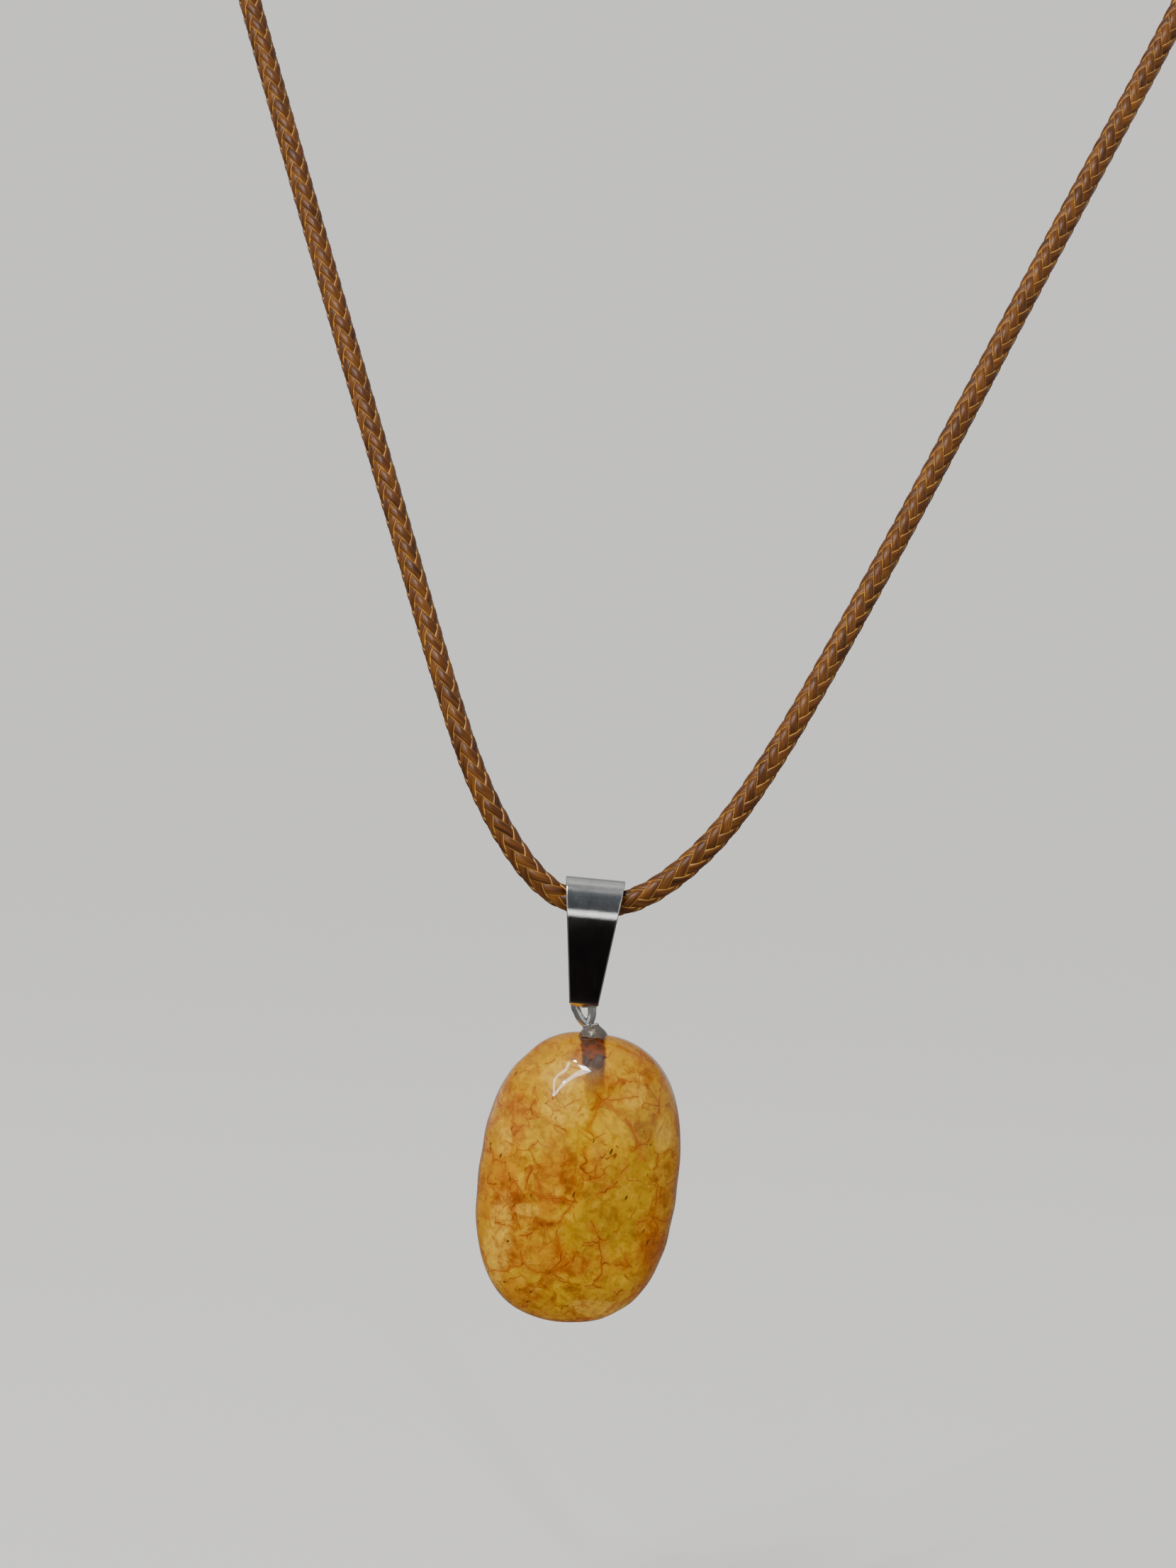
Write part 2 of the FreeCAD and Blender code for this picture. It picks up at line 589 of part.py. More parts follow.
def main():
    """Write every node."""
    os.makedirs("parts", exist_ok=True)
    save("cord", make_cord())
    save("bail", make_bail())
    peg = make_eye_peg()
    stone = make_stone()
    save("eye_peg", peg)
    save("stone", stone)
    save("glue_bead", make_glue(peg, stone))
    places = chain_positions()
    print("places", {k: round(v, 4) for k, v in places.items()})
    save("cord_end_left", make_cap(LEFT_CORD_END, 1))
    save("cord_end_right", make_cap(RIGHT_CORD_END, -1))
    save("jump_ring_left", make_ring(places["ring_left"]))
    save("jump_ring_right", make_ring(places["ring_right"]))
    clasp = {
        "clasp_body": make_clasp_body(), "clasp_lever": make_clasp_lever(),
        "clasp_pin": make_clasp_pin(), "clasp_spring": make_clasp_spring(),
    }
    for name, shape in clasp.items():
        shape.translate(X_AXIS * places["cavity"])
        save(name, shape)
    save_chain(places["ring_right"])
    centre = eye_centre() + HANG
    print("bail axis", HANG + Z_AXIS * BAIL_AXIS_Z, "eye axis", centre)


main()
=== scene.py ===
"""Pendant necklace: the looks of every piece, in metres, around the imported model."""
import bpy
import bmesh
import math
import numpy as np
from types import SimpleNamespace
from mathutils import Matrix, Vector


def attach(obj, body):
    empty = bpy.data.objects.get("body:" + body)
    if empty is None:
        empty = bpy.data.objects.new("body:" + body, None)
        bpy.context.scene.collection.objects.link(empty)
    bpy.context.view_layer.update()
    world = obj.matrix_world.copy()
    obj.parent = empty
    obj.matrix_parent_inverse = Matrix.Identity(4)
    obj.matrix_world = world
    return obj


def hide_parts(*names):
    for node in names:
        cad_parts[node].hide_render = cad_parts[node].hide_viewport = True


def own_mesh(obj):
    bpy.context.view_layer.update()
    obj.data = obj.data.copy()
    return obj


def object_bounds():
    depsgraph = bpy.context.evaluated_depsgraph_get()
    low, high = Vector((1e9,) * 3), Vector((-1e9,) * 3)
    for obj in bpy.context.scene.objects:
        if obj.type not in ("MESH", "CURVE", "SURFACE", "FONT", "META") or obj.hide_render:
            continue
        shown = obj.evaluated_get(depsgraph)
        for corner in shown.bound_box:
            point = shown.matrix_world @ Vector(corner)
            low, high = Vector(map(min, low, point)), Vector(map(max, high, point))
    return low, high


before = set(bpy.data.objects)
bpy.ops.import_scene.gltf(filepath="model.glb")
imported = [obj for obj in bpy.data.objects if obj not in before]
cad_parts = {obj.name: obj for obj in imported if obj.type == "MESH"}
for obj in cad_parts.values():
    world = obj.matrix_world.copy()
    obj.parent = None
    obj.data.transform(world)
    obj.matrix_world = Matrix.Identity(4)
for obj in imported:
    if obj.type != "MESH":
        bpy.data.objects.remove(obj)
cad_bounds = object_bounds()

MM = 0.001
HANG = Vector((0, -44, -143)) * MM  # the cord's middle inside the bail

# ---------------- camera

VIEW_HEIGHT = 126.4 * MM    # of the picture, at the pendant
VIEW_CENTRE = HANG + Vector((-1.0, 0, 8.86)) * MM
CAMERA_DISTANCE = 0.26
CAMERA_ROLL = math.radians(3.3)
SENSOR = 36.0


def add_to_scene(name, data):
    """A new object of a mesh, a light or a camera, linked into the scene."""
    made = bpy.data.objects.new(name, data)
    bpy.context.scene.collection.objects.link(made)
    return made


def make_camera():
    """Level with the pendant, straight in front of it, rolled a little."""
    data = bpy.data.cameras.new("camera")
    data.sensor_width = SENSOR
    data.lens = SENSOR * CAMERA_DISTANCE / VIEW_HEIGHT
    data.clip_start = 0.01
    camera = add_to_scene("camera", data)
    camera.location = VIEW_CENTRE - Vector((0, CAMERA_DISTANCE, 0))
    camera.rotation_euler = (math.pi / 2, -CAMERA_ROLL, 0)
    bpy.context.scene.camera = camera


make_camera()

# ---------------- mesh helpers


def add_object(name, mesh, body, slot, *replaced):
    """Link a mesh as a piece that rides on a body."""
    piece = add_to_scene(name, mesh)
    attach(piece, body)
    if replaced:
        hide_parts(*replaced)
    return piece


def grid_mesh(name, rings, closed=False):
    """A mesh from an array of rings (count, points per ring, 3), capped if it isn't closed."""
    rings = np.asarray(rings, float)
    count, around, _ = rings.shape
    faces = []
    for i in range(count if closed else count - 1):
        j = (i + 1) % count
        for k in range(around):
            m = (k + 1) % around
            faces.append((i * around + k, i * around + m, j * around + m, j * around + k))
    if not closed:
        faces.append(tuple(reversed(range(around))))
        faces.append(tuple((count - 1) * around + k for k in range(around)))
    mesh = bpy.data.meshes.new(name)
    mesh.from_pydata(rings.reshape(-1, 3).tolist(), [], faces)
    mesh.update()
    mesh.shade_smooth()
    return mesh


def join_meshes(name, meshes):
    """One mesh from several, without their point attributes."""
    joined = bmesh.new()
    for mesh in meshes:
        joined.from_mesh(mesh)
    mesh = bpy.data.meshes.new(name)
    joined.to_mesh(mesh)
    joined.free()
    mesh.shade_smooth()
    return mesh


def unit(rows):
    """Rows scaled to length 1."""
    return rows / np.linalg.norm(rows, axis=-1, keepdims=True)


def resample(points, step):
    """Evenly spaced points along a polyline, and the spacing."""
    points = np.asarray(points, float)
    lengths = np.linalg.norm(np.diff(points, axis=0), axis=1)
    along = np.concatenate([[0], np.cumsum(lengths)])
    count = max(2, int(round(along[-1] / step)) + 1)
    at = np.linspace(0, along[-1], count)
    return np.stack([np.interp(at, along, points[:, k]) for k in range(3)], axis=1), at


def frames_along(points, closed=False):
    """Tangents and two untwisted normals at each point."""
    ahead = np.roll(points, -1, axis=0) - np.roll(points, 1, axis=0)
    if not closed:
        ahead[0] = points[1] - points[0]
        ahead[-1] = points[-1] - points[-2]
    tangents = unit(ahead)
    normals = np.zeros_like(points)
    seed = np.array([0.0, 1.0, 0.0])
    if abs(tangents[0] @ seed) > 0.9:
        seed = np.array([0.0, 0.0, 1.0])
    normal = seed
    for k, tangent in enumerate(tangents):
        normal = normal - tangent * (normal @ tangent)
        normal = normal / np.linalg.norm(normal)
        normals[k] = normal
    return tangents, normals, np.cross(tangents, normals)


def swept(name, points, radii, around=16, closed=False):
    """A round tube of varying radius along points."""
    points = np.asarray(points, float)
    radii = np.broadcast_to(np.asarray(radii, float), (len(points),))
    _, normal, binormal = frames_along(points, closed)
    angle = 2 * np.pi * np.arange(around) / around
    ring = (np.cos(angle)[None, :, None] * normal[:, None, :]
            + np.sin(angle)[None, :, None] * binormal[:, None, :])
    rings = points[:, None, :] + ring * radii[:, None, None]
    return grid_mesh(name, rings, closed)


# ---------------- material helpers


def new_material(name):
    """A node material with its principled shader."""
    material = bpy.data.materials.new(name)
    material.use_nodes = True
    return material, material.node_tree, material.node_tree.nodes["Principled BSDF"]


def grey(value):
    """A grey as a colour."""
    return (value, value, value)


def feed(tree, socket, value):
    """Link a socket, or set it to a plain value."""
    if isinstance(value, bpy.types.NodeSocket):
        tree.links.new(value, socket)
    else:
        socket.default_value = value


def outputs(tree, kind, sockets=(), **properties):
    """The outputs of a new node with its properties and its inputs, by name or number, set."""
    made = tree.nodes.new("ShaderNode" + kind)
    for name, value in properties.items():
        setattr(made, name, value)
    for socket, value in dict(sockets).items():
        feed(tree, made.inputs[socket], value)
    return made.outputs


def calc(tree, operation, *values, clamp=False):
    """A sum, by the Math node's name for it."""
    return outputs(tree, "Math", enumerate(values), operation=operation, use_clamp=clamp)[0]


def times(tree, first, second):
    """Two values multiplied."""
    return calc(tree, "MULTIPLY", first, second)


def times_plus(tree, first, second, third):
    """Two values multiplied, and a third added."""
    return calc(tree, "MULTIPLY_ADD", first, second, third)


def blend(tree, factor, first, second, mode="MIX"):
    """Two colours mixed."""
    first, second = [(*c, 1) if isinstance(c, tuple) else c for c in (first, second)]
    sockets = {0: factor, 6: first, 7: second}
    return outputs(tree, "Mix", sockets, data_type="RGBA", blend_type=mode)[2]


def noise(tree, place, scale, detail=2.0, roughness=0.5, output="Fac"):
    """A noise texture."""
    sockets = {"Vector": place, "Scale": scale, "Detail": detail, "Roughness": roughness}
    return outputs(tree, "TexNoise", sockets)[output]


def voronoi(tree, place, scale, feature, output):
    """A Voronoi texture."""
    return outputs(tree, "TexVoronoi", {"Vector": place, "Scale": scale}, feature=feature)[output]


def shade(tree, value, stops):
    """The colour that a ramp of (place, colour) stops gives for a value."""
    made = tree.nodes.new("ShaderNodeValToRGB")
    elements = made.color_ramp.elements
    while len(elements) < len(stops):
        elements.new(0.5)
    for element, (place, colour) in zip(elements, stops):
        element.position = place
        element.color = (*colour, 1)
    feed(tree, made.inputs["Fac"], value)
    return made.outputs["Color"]


def fade(tree, value, zero_at, one_at):
    """A smooth 0 to 1 of a value between two places."""
    rising = zero_at < one_at
    sockets = {"Value": value, "From Min": min(zero_at, one_at), "From Max": max(zero_at, one_at),
               "To Min": 0.0 if rising else 1.0, "To Max": 1.0 if rising else 0.0}
    return outputs(tree, "MapRange", sockets, interpolation_type="SMOOTHSTEP")["Result"]


def local_place(tree, origin, tilt_deg, stretch=(1, 1, 1)):
    """Millimetres from a point, along axes turned about Y, and its separate x, y, z."""
    sockets = {"Vector": outputs(tree, "TexCoord")["Object"], "Location": origin,
               "Rotation": (0, math.radians(tilt_deg), 0), "Scale": [MM / s for s in stretch]}
    place = outputs(tree, "Mapping", sockets, vector_type="TEXTURE")[0]
    return place, *outputs(tree, "SeparateXYZ", {0: place})


def warped(tree, place, scale, amount):
    """A position moved by a noise's colour."""
    colour = noise(tree, place, scale, 3.0, output="Color")
    centred = outputs(tree, "VectorMath", {0: colour, 1: (0.5, 0.5, 0.5)}, operation="SUBTRACT")[0]
    sockets = {0: centred, 1: (amount, amount, amount), 2: place}
    return outputs(tree, "VectorMath", sockets, operation="MULTIPLY_ADD")[0]


def bumped(tree, shader, height, depth, strength=1.0):
    """Bump a shader's normal by a height, in metres at full height."""
    sockets = {"Strength": strength, "Distance": depth, "Height": height}
    feed(tree, shader.inputs["Normal"], outputs(tree, "Bump", sockets)["Normal"])


def set_inputs(tree, shader, **values):
    """Link or set a shader's inputs, named with _ for each space."""
    for name, value in values.items():
        feed(tree, shader.inputs[name.replace("_", " ")], value)


def set_material(piece, material):
    """Give one material to a piece, its own or a CAD node's."""
    if not piece.material_slots:
        piece.data.materials.append(material)
    for place in piece.material_slots:
        place.material = material


# ---------------- cord

LEFT_CORD_END = -4.0
RIGHT_CORD_END = 16.56
# The same route as the CAD tube's, in millimetres from HANG.
ROUTE = [
    (LEFT_CORD_END, 44, 143), (-17, 44, 143), (-30, 43.5, 141), (-40.5, 41, 134),
    (-46, 36.5, 121), (-44.5, 31, 104), (-36.6, 24.5, 81.5), (-25.9, 14.5, 51.4),
    (-17.6, 6.5, 28.8), (-12.3, 2, 14), (-8.9, 0.4, 6.3), (-4.2, 0, 0.1),
    (0.1, 0, -1.15), (4.4, 0, 0), (9.4, 0.3, 4.6), (13.3, 1.2, 10.6), (17.9, 3.7, 19.3),
    (25.5, 8.8, 34.8), (36.7, 17, 58.5), (50.3, 26.5, 86.3), (57, 32.5, 106),
    (57.5, 38, 121.5), (52, 42, 133.5), (42.5, 43.8, 141), (29.4, 44, 143),
    (RIGHT_CORD_END, 44, 143),
]
STRANDS = 6                    # in each direction
BRAID_LEAD = 9.9 * MM          # one turn of a strand
STRAND_WIDTH = 0.84 * MM
STRAND_THICKNESS = 0.30 * MM
STRAND_MIDDLE = 0.75 * MM      # radius of the strands' middle
STRAND_WAVE = 0.115 * MM       # how far a strand rises over and dips under
STRAND_CORNERS = 10            # points round a strand's section
LOOSENESS = 0.05               # how much a strand's width wanders
LOOSE_EVERY = 7.3 * MM
CORE_RADIUS = 0.55 * MM
CORE_CORNERS = 10
CORE_STRIDE = 6                # the core is this much coarser than the strands
BRAID_STEP = 0.22 * MM
# Cells of a strand's filaments and stains: across half its width, per millimetre along, per strand.
FILAMENT_CELLS = (7.0, 0.55, 3.7)
STAIN_CELLS = (0.6, 0.35, 1.9)
CORD_DARK = (0.016, 0.004, 0.0)
CORD_BROWN = (0.085, 0.023, 0.0)
CORD_TAN = (0.20, 0.068, 0.003)
CORD_EDGE = (0.66, 0.34, 0.06)


def cord_centreline():
    """Points read from the route's own smooth curve."""
    data = bpy.data.curves.new("cord_route", "CURVE")
    data.dimensions = "3D"
    spline = data.splines.new("NURBS")
    spline.points.add(len(ROUTE) - 1)
    for point, place in zip(spline.points, ROUTE):
        point.co = (*(HANG + Vector(place) * MM), 1)
    spline.order_u = 3
    spline.use_endpoint_u = True
    spline.resolution_u = 32
    route = bpy.data.objects.new("cord_route", data)
    mesh = bpy.data.meshes.new_from_object(route)
    points = [tuple(v.co) for v in mesh.vertices]
    bpy.data.meshes.remove(mesh)
    bpy.data.objects.remove(route)
    bpy.data.curves.remove(data)
    return points


def rounded(value, power):
    """A wave with fuller or sharper crests."""
    return np.sign(value) * np.abs(value) ** power


def strand_rings(points, along, frames, turn_sign, number):
    """Sections of one flat strand of the two-over-two-under braid, and their across values."""
    tangent, normal, binormal = frames
    pitch = 2 * np.pi / BRAID_LEAD
    angle = turn_sign * pitch * along + 2 * np.pi * number / STRANDS
    over = turn_sign * rounded(np.cos(np.pi / 2 * (STRANDS * angle / np.pi - 0.5)), 0.8)
    radial = np.cos(angle)[:, None] * normal + np.sin(angle)[:, None] * binormal
    around = -np.sin(angle)[:, None] * normal + np.cos(angle)[:, None] * binormal
    slope = math.atan(pitch * STRAND_MIDDLE)
    heading = unit(tangent * math.cos(slope) + around * (turn_sign * math.sin(slope)))
    across = np.cross(radial, heading)
    turn = 2 * np.pi * (np.arange(STRAND_CORNERS) + 0.5) / STRAND_CORNERS
    flat, tall = rounded(np.cos(turn), 0.75), rounded(np.sin(turn), 0.85)
    loose = 1 + LOOSENESS * np.sin(2 * np.pi * along / LOOSE_EVERY + 2.1 * number + turn_sign)
    half_width = STRAND_WIDTH / 2 * loose
    radius = STRAND_MIDDLE + STRAND_WAVE * over
    sideways = flat[None, :] * half_width[:, None]
    sag = (sideways * math.cos(slope)) ** 2 / (2 * STRAND_MIDDLE)
    height = radius[:, None] - sag + tall[None, :] * STRAND_THICKNESS / 2
    rings = (points[:, None, :] + radial[:, None, :] * height[:, :, None]
             + across[:, None, :] * sideways[:, :, None])
    facts = np.zeros((len(points), STRAND_CORNERS, 3))
    facts[:, :, 0] = flat[None, :]
    facts[:, :, 1] = along[:, None] / MM
    facts[:, :, 2] = number + (0.5 if turn_sign > 0 else 0.0)
    return rings, facts


def make_cord():
    """The braided cord on its smooth route, with its core."""
    line = cord_centreline()
    points, along = resample(line, BRAID_STEP)
    frames = frames_along(points)
    meshes = []
    facts = []
    for turn_sign in (1, -1):
        for number in range(STRANDS):
            rings, fact = strand_rings(points, along, frames, turn_sign, number)
            meshes.append(grid_mesh("strand", rings))
            facts.append(fact.reshape(-1, 3))
    core = swept("core", points[::CORE_STRIDE], CORE_RADIUS, CORE_CORNERS)
    meshes.append(core)
    core_fact = np.zeros((len(core.vertices), 3))
    core_fact[:, 1] = np.repeat(along[::CORE_STRIDE] / MM, CORE_CORNERS)
    facts.append(core_fact)
    mesh = join_meshes("cord_braid", meshes)
    attribute = mesh.attributes.new("strand", "FLOAT_VECTOR", "POINT")
    attribute.data.foreach_set("vector", np.concatenate(facts).astype(np.float32).ravel())
    for made in meshes:
        bpy.data.meshes.remove(made)
    piece = add_object("cord_braid", mesh, "root", "cord_braid", "cord")
    return piece


def strand_noise(tree, facts, cells, detail, roughness):
    """A noise laid out along each strand."""
    place = outputs(tree, "VectorMath", {0: facts, 1: cells}, operation="MULTIPLY")[0]
    return noise(tree, place, 1.0, detail, roughness)


def cord_material():
    """Waxed brown braid: filaments along each strand, pale edges, dark gaps, a waxy coat."""
    material, tree, shader = new_material("cord_braid")
    facts = outputs(tree, "Attribute", attribute_name="strand")["Vector"]
    filaments = strand_noise(tree, facts, FILAMENT_CELLS, 4.0, 0.6)
    stains = strand_noise(tree, facts, STAIN_CELLS, 2.0, 0.5)
    tone = times_plus(tree, stains, 0.45, times(tree, filaments, 0.55))
    body = shade(tree, tone, [(0.30, CORD_DARK), (0.48, CORD_BROWN), (0.66, CORD_TAN)])
    across = calc(tree, "ABSOLUTE", outputs(tree, "SeparateXYZ", {0: facts})["X"])
    edge = shade(tree, across, [(0.83, grey(0)), (0.94, grey(1.4)), (1.0, grey(0.9))])
    colour = blend(tree, times(tree, edge, stains), body, CORD_EDGE)
    rough = shade(tree, filaments, [(0.3, grey(0.26)), (0.7, grey(0.46))])
    bumped(tree, shader, filaments, 0.00006, 0.55)
    set_inputs(tree, shader, Base_Color=colour, Roughness=rough, Specular_IOR_Level=0.3,
               Coat_Weight=0.28, Coat_Roughness=0.22)
    return material


cord = make_cord()
set_material(cord, cord_material())

# ---------------- bail

# The same sizes as the CAD strip's, in millimetres from HANG.
BAIL_AXIS_Z = -0.5
BAIL_FOLD_R = 1.65          # middle of the wall
BAIL_FOLD_DEG = 70.0
BAIL_SHOULDER_R = 4.5
BAIL_LEAN_DEG = 7.5
BAIL_LEAF_END_Z = -8.55
BAIL_CURL_R = 0.4
BAIL_WALL = 0.3
BAIL_TOP_Z = 1.3
BAIL_TOP_WIDTH = 4.85
BAIL_FOOT_Z = -9.1
BAIL_FOOT_WIDTH = 2.3
BAIL_TILT_DEG = 2.2
PRONG_R = 0.25
PRONG_GAP = 0.04
BAIL_EDGE_R = 0.07
STEEL = (0.80, 0.79, 0.775)
STEEL_DULL = (0.66, 0.655, 0.65)
STEEL_SPECK = (0.42, 0.42, 0.40)
# (turn about Y in degrees, fineness along x, y, z) of a metal's three sets of scratches
SCRATCH_DIRECTIONS = [(20, (0.5, 9.0, 9.0)), (-55, (0.5, 8.0, 8.0)), (80, (0.6, 10.0, 10.0))]


def arc(centre, radius, angles):
    """(y, z) on a circle, at angles from straight up round to the front."""
    return [(centre[0] - radius * math.sin(a), centre[1] + radius * math.cos(a)) for a in angles]


def bail_half_profile():
    """(y, z, share of curl done) down the front, from the top of the fold to the prong's tip."""
    fold = math.radians(BAIL_FOLD_DEG)
    lean = math.radians(BAIL_LEAN_DEG)
    end = math.pi / 2 + lean
    path = arc((0, BAIL_AXIS_Z), BAIL_FOLD_R, np.linspace(0, fold, 26))
    inset = BAIL_FOLD_R - BAIL_SHOULDER_R
    centre = (-inset * math.sin(fold), BAIL_AXIS_Z + inset * math.cos(fold))
    path += arc(centre, BAIL_SHOULDER_R, np.linspace(fold, end, 14)[1:])
    top_y, top_z = path[-1]
    path += [(top_y + (top_z - z) * math.tan(lean), z) for z in np.linspace(top_z, BAIL_LEAF_END_Z, 16)[1:]]
    rows = [(y, z, 0) for y, z in path]
    foot_y, foot_z = path[-1]
    centre = (foot_y + BAIL_CURL_R * math.cos(lean), foot_z + BAIL_CURL_R * math.sin(lean))
    curl = np.linspace(end, math.pi, 12)[1:]
    rows += [(y, z, (a - end) / (math.pi - end)) for a, (y, z) in zip(curl, arc(centre, BAIL_CURL_R, curl))]
    last_y, last_z, _ = rows[-1]
    return rows + [(y, last_z, 1) for y in np.linspace(last_y, -PRONG_GAP, 6)[1:]]


def rounded_section(half_width, half_wall, edge):
    """(across, out) points of a flat bar's rounded section."""
    edge = min(edge, 0.98 * half_wall, 0.98 * half_width)
    support = min(0.05, 0.3 * (half_width - edge))
    points = []
    for quarter, (sx, sy) in enumerate(((1, 1), (-1, 1), (-1, -1), (1, -1))):
        centre = (sx * (half_width - edge), sy * (half_wall - edge))
        turned = [math.pi / 2 * (quarter + share) for share in (0, 1 / 3, 2 / 3, 1)]
        corner = [(centre[0] + edge * math.cos(a), centre[1] + edge * math.sin(a)) for a in turned]
        near = [(corner[0][0], corner[0][1] - 0.02 * sy), (corner[-1][0] - support * sx, corner[-1][1])]
        if quarter % 2:
            near = [(corner[0][0] - support * sx, corner[0][1]),
                    (corner[-1][0], corner[-1][1] - 0.02 * sy)]
        points += [near[0]] + corner + [near[1]]
    return points


def smooth_share(value):
    """0 to 1, easing in and out."""
    value = min(1.0, max(0.0, value))
    return value * value * (3 - 2 * value)


def tilted(point, pivot, degrees):
    """A point turned about +Y through a pivot, both in millimetres from HANG."""
    turn = Matrix.Rotation(math.radians(degrees), 3, "Y")
    return Vector(pivot) + turn @ (Vector(point) - Vector(pivot))


def make_bail():
    """The folded strip, swept from the front prong over the cord to the back prong."""
    front = bail_half_profile()
    back = [(-y, z, share) for y, z, share in front[1:]]
    rows = list(reversed(front)) + back
    path = np.array([(y, z) for y, z, _ in rows])
    ahead = unit(np.gradient(path, axis=0))
    rings = []
    for (y, z, share), heading in zip(rows, ahead):
        taper = (z - BAIL_FOOT_Z) / (BAIL_TOP_Z - BAIL_FOOT_Z)
        width = BAIL_FOOT_WIDTH + (BAIL_TOP_WIDTH - BAIL_FOOT_WIDTH) * taper
        narrowing = smooth_share((share - 0.45) / 0.5)
        half_width = width / 2 * (1 - narrowing) + PRONG_R * narrowing
        half_wall = BAIL_WALL / 2 * (1 - narrowing) + PRONG_R * narrowing
        edge = BAIL_EDGE_R * (1 - narrowing) + PRONG_R * narrowing
        out = np.array([-heading[1], heading[0]])
        ring = []
        for across, away in rounded_section(half_width, half_wall, edge):
            point = (across, y + out[0] * away, z + out[1] * away)
            ring.append(HANG + tilted(point, (0, 0, BAIL_AXIS_Z), BAIL_TILT_DEG) * MM)
        rings.append([tuple(p) for p in ring])
    return add_object("bail_strip", grid_mesh("bail_strip", rings), "bail", "bail_steel", "bail")


def metal_material(name, colour, rough, wear):
    """Polished metal with fine crossed scratches, handling smudges and a slight ripple."""
    material, tree, shader = new_material(name)
    place = local_place(tree, (0, 0, 0), 0)[0]
    smudge = noise(tree, warped(tree, place, 0.7, 1.2), 0.8, 4.0, 0.6)
    marks = 0.0
    for turn, stretch in SCRATCH_DIRECTIONS:
        along = local_place(tree, (0, 0, 0), turn, stretch)[0]
        mark = fade(tree, noise(tree, along, 1.0, 3.0, 0.6), 0.60, 0.68)
        marks = calc(tree, "MAXIMUM", marks, mark)
    marks = times(tree, marks, wear)
    height = times(tree, noise(tree, place, 2.2, 2.0), 0.5)
    height = calc(tree, "SUBTRACT", height, times(tree, marks, 0.25))
    bumped(tree, shader, height, 0.000006)
    dull = tuple(0.80 * c for c in colour)
    gloss = times_plus(tree, fade(tree, smudge, 0.62, 0.36), 0.9 * rough, 0.6 * rough)
    set_inputs(tree, shader, Base_Color=shade(tree, smudge, [(0.34, dull), (0.62, colour)]),
               Roughness=times_plus(tree, marks, 0.14, gloss), Metallic=1.0)
    return material


def bail_material():
    """Rolled steel strip: mirror-flat leaves, a speckled grain where it's bent, fine streaks."""
    material, tree, shader = new_material("bail_steel")
    place, _, _, z = local_place(tree, HANG, 0)
    bend = fade(tree, z, -4.6, -1.4)
    speckle = noise(tree, place, 11.0, 3.0, 0.7)
    smudge = noise(tree, warped(tree, place, 0.8, 0.8), 0.9, 3.0)
    streaks = local_place(tree, HANG, BAIL_TILT_DEG, (9.0, 1.0, 0.35))[0]
    scratch = fade(tree, noise(tree, streaks, 1.0, 4.0, 0.75), 0.60, 0.72)
    dots = times(tree, fade(tree, speckle, 0.52, 0.66), times(tree, bend, 0.45))
    tone = blend(tree, dots, shade(tree, smudge, [(0.3, STEEL_DULL), (0.7, STEEL)]), STEEL_SPECK)
    rough = times_plus(tree, bend, 0.04, times_plus(tree, smudge, 0.06, 0.03))
    rough = times_plus(tree, scratch, 0.06, rough)
    grain = times(tree, speckle, times_plus(tree, bend, 0.9, 0.06))
    grain = times_plus(tree, scratch, -0.05, grain)
    bumped(tree, shader, grain, 0.000004)
    set_inputs(tree, shader, Base_Color=tone, Roughness=rough, Metallic=1.0)
    return material


bail = make_bail()
set_material(bail, bail_material())

# ---------------- eye and its stem

EYE_WIRE_R = 0.35
EYE_ARC_R = 0.7
EYE_CLEARANCE = 0.03
EYE_BELLY = 0.13            # how far each limb bows out
EYE_SLANT_DEG = 15.0
EYE_NECK_DROP = 1.7
STEM_R = 0.5
STEM_LENGTH = 5.6
STEM_OVERLAP = 0.15         # of the stem's top with the wire
RIB_HEIGHT = 0.06
RIB_PITCH = 0.7
RIBS_FROM = 1.2


def eye_centre():
    """Centre of the eye's top arc, in millimetres from HANG."""
    prong_z = bail_half_profile()[-1][1]
    prong = tilted((0, 0, prong_z), (0, 0, BAIL_AXIS_Z), BAIL_TILT_DEG)
    return prong - Vector((0, 0, EYE_ARC_R - EYE_WIRE_R - PRONG_R - EYE_CLEARANCE))


def make_eye():
    """A teardrop of wire and the ribbed stem that is glued into the stone."""
    centre = eye_centre()
    spread = math.acos(EYE_ARC_R / EYE_NECK_DROP)
    arc = np.linspace(-math.pi / 2 + spread, 3 * math.pi / 2 - spread, 40)
    neck = Vector((0, 0, -EYE_NECK_DROP))
    loop = [Vector((EYE_ARC_R * math.cos(a), 0, EYE_ARC_R * math.sin(a))) for a in arc]
    limbs = []
    for end in (loop[0], loop[-1]):
        bow = math.copysign(EYE_BELLY, end.x)
        limbs.append([neck.lerp(end, share) + Vector((bow * math.sin(math.pi * share) ** 1.3, 0, 0))
                      for share in np.linspace(0, 1, 13)[:-1]])

    def placed(point):
        return tuple(HANG + tilted(centre + point, centre, -EYE_SLANT_DEG) * MM)

    outline = limbs[0] + loop + limbs[1][::-1]
    wire = swept("eye_wire", [placed(p) for p in outline], EYE_WIRE_R * MM, 20)
    depths = np.linspace(0, STEM_LENGTH, 57)
    ribs = np.where(depths > RIBS_FROM, RIB_HEIGHT * np.cos(2 * np.pi * depths / RIB_PITCH), 0)
    stem_points = [placed(neck + Vector((0, 0, STEM_OVERLAP - depth))) for depth in depths]
    stem = swept("stem", stem_points, (STEM_R - RIB_HEIGHT + ribs) * MM, 20)
    return add_object(
        "eye_peg_wire", join_meshes("eye_peg_wire", [wire, stem]), "pendant", "eye_wire", "eye_peg")


eye = make_eye()
set_material(eye, metal_material("eye_wire", (0.84, 0.83, 0.80), 0.07, 0.5))

# ---------------- stone

